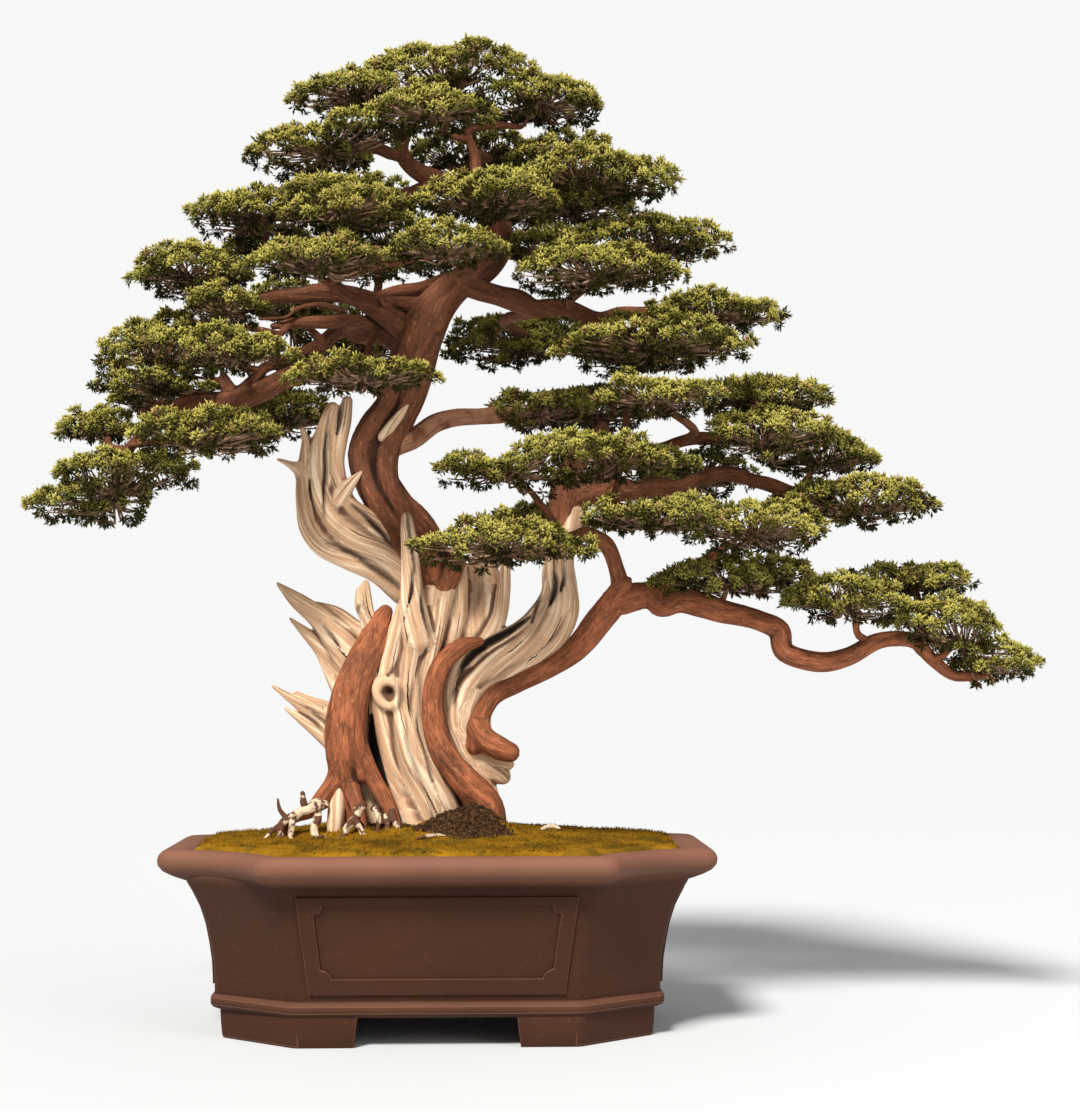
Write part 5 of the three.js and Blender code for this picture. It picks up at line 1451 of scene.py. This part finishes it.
class BONSAI_OT_foliage(bpy.types.Operator):
    """Cover every foliage pad with sprays of juniper foliage on a fan of twigs"""
    bl_idname = "bonsai.foliage"
    bl_label = "Foliage"

    def execute(self, context):
        settings = context.scene.bonsai_foliage
        green, brown = spray_finish(settings), twig_finish(settings)
        rng = np.random.default_rng(21)
        kinds = [spray_shape(rng, SPRAY_CORDS) for _ in range(SPRAY_KINDS)]
        centres = {}
        for _, pad, stations in stem_routes():
            centres.setdefault(pad, []).append(np.array(stations[-1][:3]))
        for number, name in enumerate(pad_nodes()):
            piece, leaf_faces = self.make_pad(name, centres[name], kinds, settings,
                                              np.random.default_rng(100 + number))
            settle(piece, green, [name])
            piece.data.materials.append(brown)
            twigs = np.arange(len(piece.data.polygons)) >= leaf_faces
            piece.data.polygons.foreach_set("material_index", twigs.astype(np.int32))
        return {"FINISHED"}

    def make_pad(self, name, centres, kinds, settings, rng):
        corners, normals, area = pad_surface(name)
        clump, outward = scattered_clumps(rng, corners, normals, area, settings.spacing / MM)
        lump = layered_noise(clump / 34 + 40, 2, 6)
        under = np.clip(-outward[:, 2] * 1.5, 0, 1)
        clump = clump + outward * (np.clip((lump - 0.5) * 40, -10, 8) - 2)[:, None] - (0, 0, 5)
        clump[:, 2] += under * 5
        outward = unit(outward * (1, 1, 0.9) + (0, 0, 0.45) + rng.normal(0, 0.12, outward.shape))
        crowd = np.where(under > 0.5, SPRAYS_BELOW, SPRAYS_ON_TOP)
        owner = np.repeat(np.arange(len(clump)), crowd)
        facing = unit(rng.normal(0, 1, (len(owner), 3)) * (1, 1, 0.8) + outward[owner] * 1.25)
        size = rng.uniform(0.72, 1.2, len(owner)) * settings.spray_length / MM
        point = clump[owner] + facing * rng.uniform(1.5, 6.5, len(owner))[:, None]
        side = unit(np.cross(facing, rng.normal(0, 1, facing.shape)))
        other = np.cross(facing, side)
        exposed = (facing * outward[owner]).sum(1)
        tone = rng.normal(0.4, 0.24, len(clump))[owner] + rng.normal(0, 0.2, len(owner))
        # A random tone, fresher on sprays that face out, partly as younger growth and partly as painted
        # light, lighter on sprays that face up as painted light from above, and duller under the pad as
        # painted shade.
        tint_and_light = np.clip(tone + 0.25 * exposed + 0.3 * facing[:, 2] - 0.1, 0, 1) * (1 - 0.8 * under[owner])
        # Painted shade under the pad and on sprays that face inwards or down.
        shade = np.clip(0.65 * under[owner] + 0.35 - 0.55 * exposed - 0.2 * facing[:, 2], 0, 0.9)
        dry = (rng.uniform(0, 1, len(point)) < 0.03 + 0.1 * under[owner]).astype(float)
        which = rng.integers(0, len(kinds), len(point))
        verts, tris, values, offset = [], [], {"tip": [], "tint_and_light": [], "shade": [], "dry": []}, 0
        for index, (shape, faces, tips) in enumerate(kinds):
            own = which == index
            local = np.einsum("k,vc->kvc", size[own], shape)
            world = (point[own][:, None] + local[..., :1] * side[own][:, None]
                     + local[..., 1:2] * other[own][:, None] + local[..., 2:] * facing[own][:, None])
            verts.append(world.reshape(-1, 3))
            tris.append((np.arange(own.sum())[:, None, None] * len(shape) + faces).reshape(-1, 3) + offset)
            offset += own.sum() * len(shape)
            values["tip"].append(np.tile(tips, own.sum()))
            values["tint_and_light"].append(np.repeat(tint_and_light[own], len(shape)))
            values["shade"].append(np.repeat(shade[own], len(shape)))
            values["dry"].append(np.repeat(dry[own], len(shape)))
        leaf_faces = sum(len(part) for part in tris)
        nearest = np.array([np.linalg.norm(clump - centre, axis=1) for centre in centres]).argmin(0)
        for index, centre in enumerate(centres):
            ends = clump[nearest == index]
            ends = ends[rng.permutation(len(ends))[:TWIGS_AT_MOST]]
            twig_verts, twig_tris = twig_mesh(rng, centre, ends)
            verts.append(twig_verts)
            tris.append(twig_tris + offset)
            offset += len(twig_verts)
            for key in values:
                values[key].append(np.zeros(len(twig_verts)))
        tris = np.vstack(tris)
        piece = make_mesh(name + "_sprays", place(np.vstack(verts)), tris,
                          values={key: np.concatenate(part) for key, part in values.items()})
        return piece, leaf_faces


# ---- stage -------------------------------------------------------------------------------------
CAMERA = {"x": 31, "y": -2300, "z": 386, "lens": 66.1, "turn": 2.02, "tilt": 3.35}


def area_light(name, at, aim, size, power, colour):
    data = bpy.data.lights.new(name, "AREA")
    data.shape = "DISK"
    data.size = size
    data.energy = power
    data.color = colour
    lamp = bpy.data.objects.new(name, data)
    bpy.context.scene.collection.objects.link(lamp)
    lamp.location = at
    lamp.rotation_euler = (Vector(aim) - Vector(at)).to_track_quat("-Z", "Y").to_euler()


class BONSAI_OT_stage(bpy.types.Operator):
    """Set up the camera, the pale floor and the soft studio light"""
    bl_idname = "bonsai.stage"
    bl_label = "Stage"

    def execute(self, context):
        settings = context.scene.bonsai_stage
        data = bpy.data.cameras.new("camera")
        data.lens = CAMERA["lens"]
        data.sensor_width = 36.0
        data.clip_end = 50.0
        camera = bpy.data.objects.new("camera", data)
        context.scene.collection.objects.link(camera)
        camera.location = Vector((CAMERA["x"], CAMERA["y"], CAMERA["z"])) * MM + POT_CENTRE
        camera.rotation_euler = (math.radians(90 + CAMERA["tilt"]), 0, math.radians(-CAMERA["turn"]))
        context.scene.camera = camera
        bpy.ops.mesh.primitive_plane_add(size=14.0, location=(0, 0, 0))
        floor = context.object
        floor.name = "floor"
        finish = Finish("pale_floor", 0.9, 0.1)
        finish.set("Base Color", (*settings.floor_colour, 1.0))
        floor.data.materials.append(finish.material)
        world = bpy.data.worlds.new("studio")
        world.use_nodes = True
        nodes, links = world.node_tree.nodes, world.node_tree.links
        ambient = nodes["Background"]
        ambient.inputs["Color"].default_value = (1.0, 0.98, 0.95, 1.0)
        ambient.inputs["Strength"].default_value = 0.33
        backdrop = nodes.new("ShaderNodeBackground")
        backdrop.inputs["Color"].default_value = (0.935, 0.935, 0.93, 1.0)
        sight = nodes.new("ShaderNodeLightPath")
        choice = nodes.new("ShaderNodeMixShader")
        links.new(sight.outputs["Is Camera Ray"], choice.inputs[0])
        links.new(ambient.outputs[0], choice.inputs[1])
        links.new(backdrop.outputs[0], choice.inputs[2])
        links.new(choice.outputs[0], nodes["World Output"].inputs["Surface"])
        context.scene.world = world
        context.scene.view_settings.view_transform = "Standard"
        centre = POT_CENTRE + Vector((0, 0, 0.55))
        sun = bpy.data.lights.new("key", "SUN")
        sun.energy = 4.2
        sun.angle = math.radians(14)
        sun.color = (1.0, 0.965, 0.9)
        lamp = bpy.data.objects.new("key", sun)
        context.scene.collection.objects.link(lamp)
        lamp.rotation_euler = Vector((0.42, 0.95, -1.15)).to_track_quat("-Z", "Y").to_euler()
        area_light("fill", centre + Vector((2.2, -2.2, 0.7)), centre, 2.0, 22.0, (1.0, 0.97, 0.93))
        return {"FINISHED"}


class BONSAI_PT_panel(bpy.types.Panel):
    """Lists the bonsai's pieces"""
    bl_idname = "BONSAI_PT_panel"
    bl_label = "Bonsai"
    bl_space_type = "VIEW_3D"
    bl_region_type = "UI"
    bl_category = "Bonsai"

    def draw(self, context):
        for step in STEPS:
            self.layout.operator(step.bl_idname)


STEPS = (BONSAI_OT_stage, BONSAI_OT_pot, BONSAI_OT_filling, BONSAI_OT_trunk, BONSAI_OT_branches,
         BONSAI_OT_foliage)
GROUPS = {"bonsai_pot": BonsaiPotSettings, "bonsai_wood": BonsaiWoodSettings,
          "bonsai_foliage": BonsaiFoliageSettings, "bonsai_stage": BonsaiStageSettings}


def register():
    for group in GROUPS.values():
        bpy.utils.register_class(group)
    for name, group in GROUPS.items():
        setattr(bpy.types.Scene, name, bpy.props.PointerProperty(type=group))
    for step in (*STEPS, BONSAI_PT_panel):
        bpy.utils.register_class(step)


def unregister():
    for step in (BONSAI_PT_panel, *reversed(STEPS)):
        bpy.utils.unregister_class(step)
    for name, group in GROUPS.items():
        delattr(bpy.types.Scene, name)
        bpy.utils.unregister_class(group)


def main():
    register()
    bpy.ops.object.select_all(action="DESELECT")
    bpy.ops.bonsai.stage()
    bpy.ops.bonsai.pot()
    bpy.ops.bonsai.filling()
    bpy.ops.bonsai.trunk()
    bpy.ops.bonsai.branches()
    bpy.ops.bonsai.foliage()


if __name__ == "__main__":
    main()
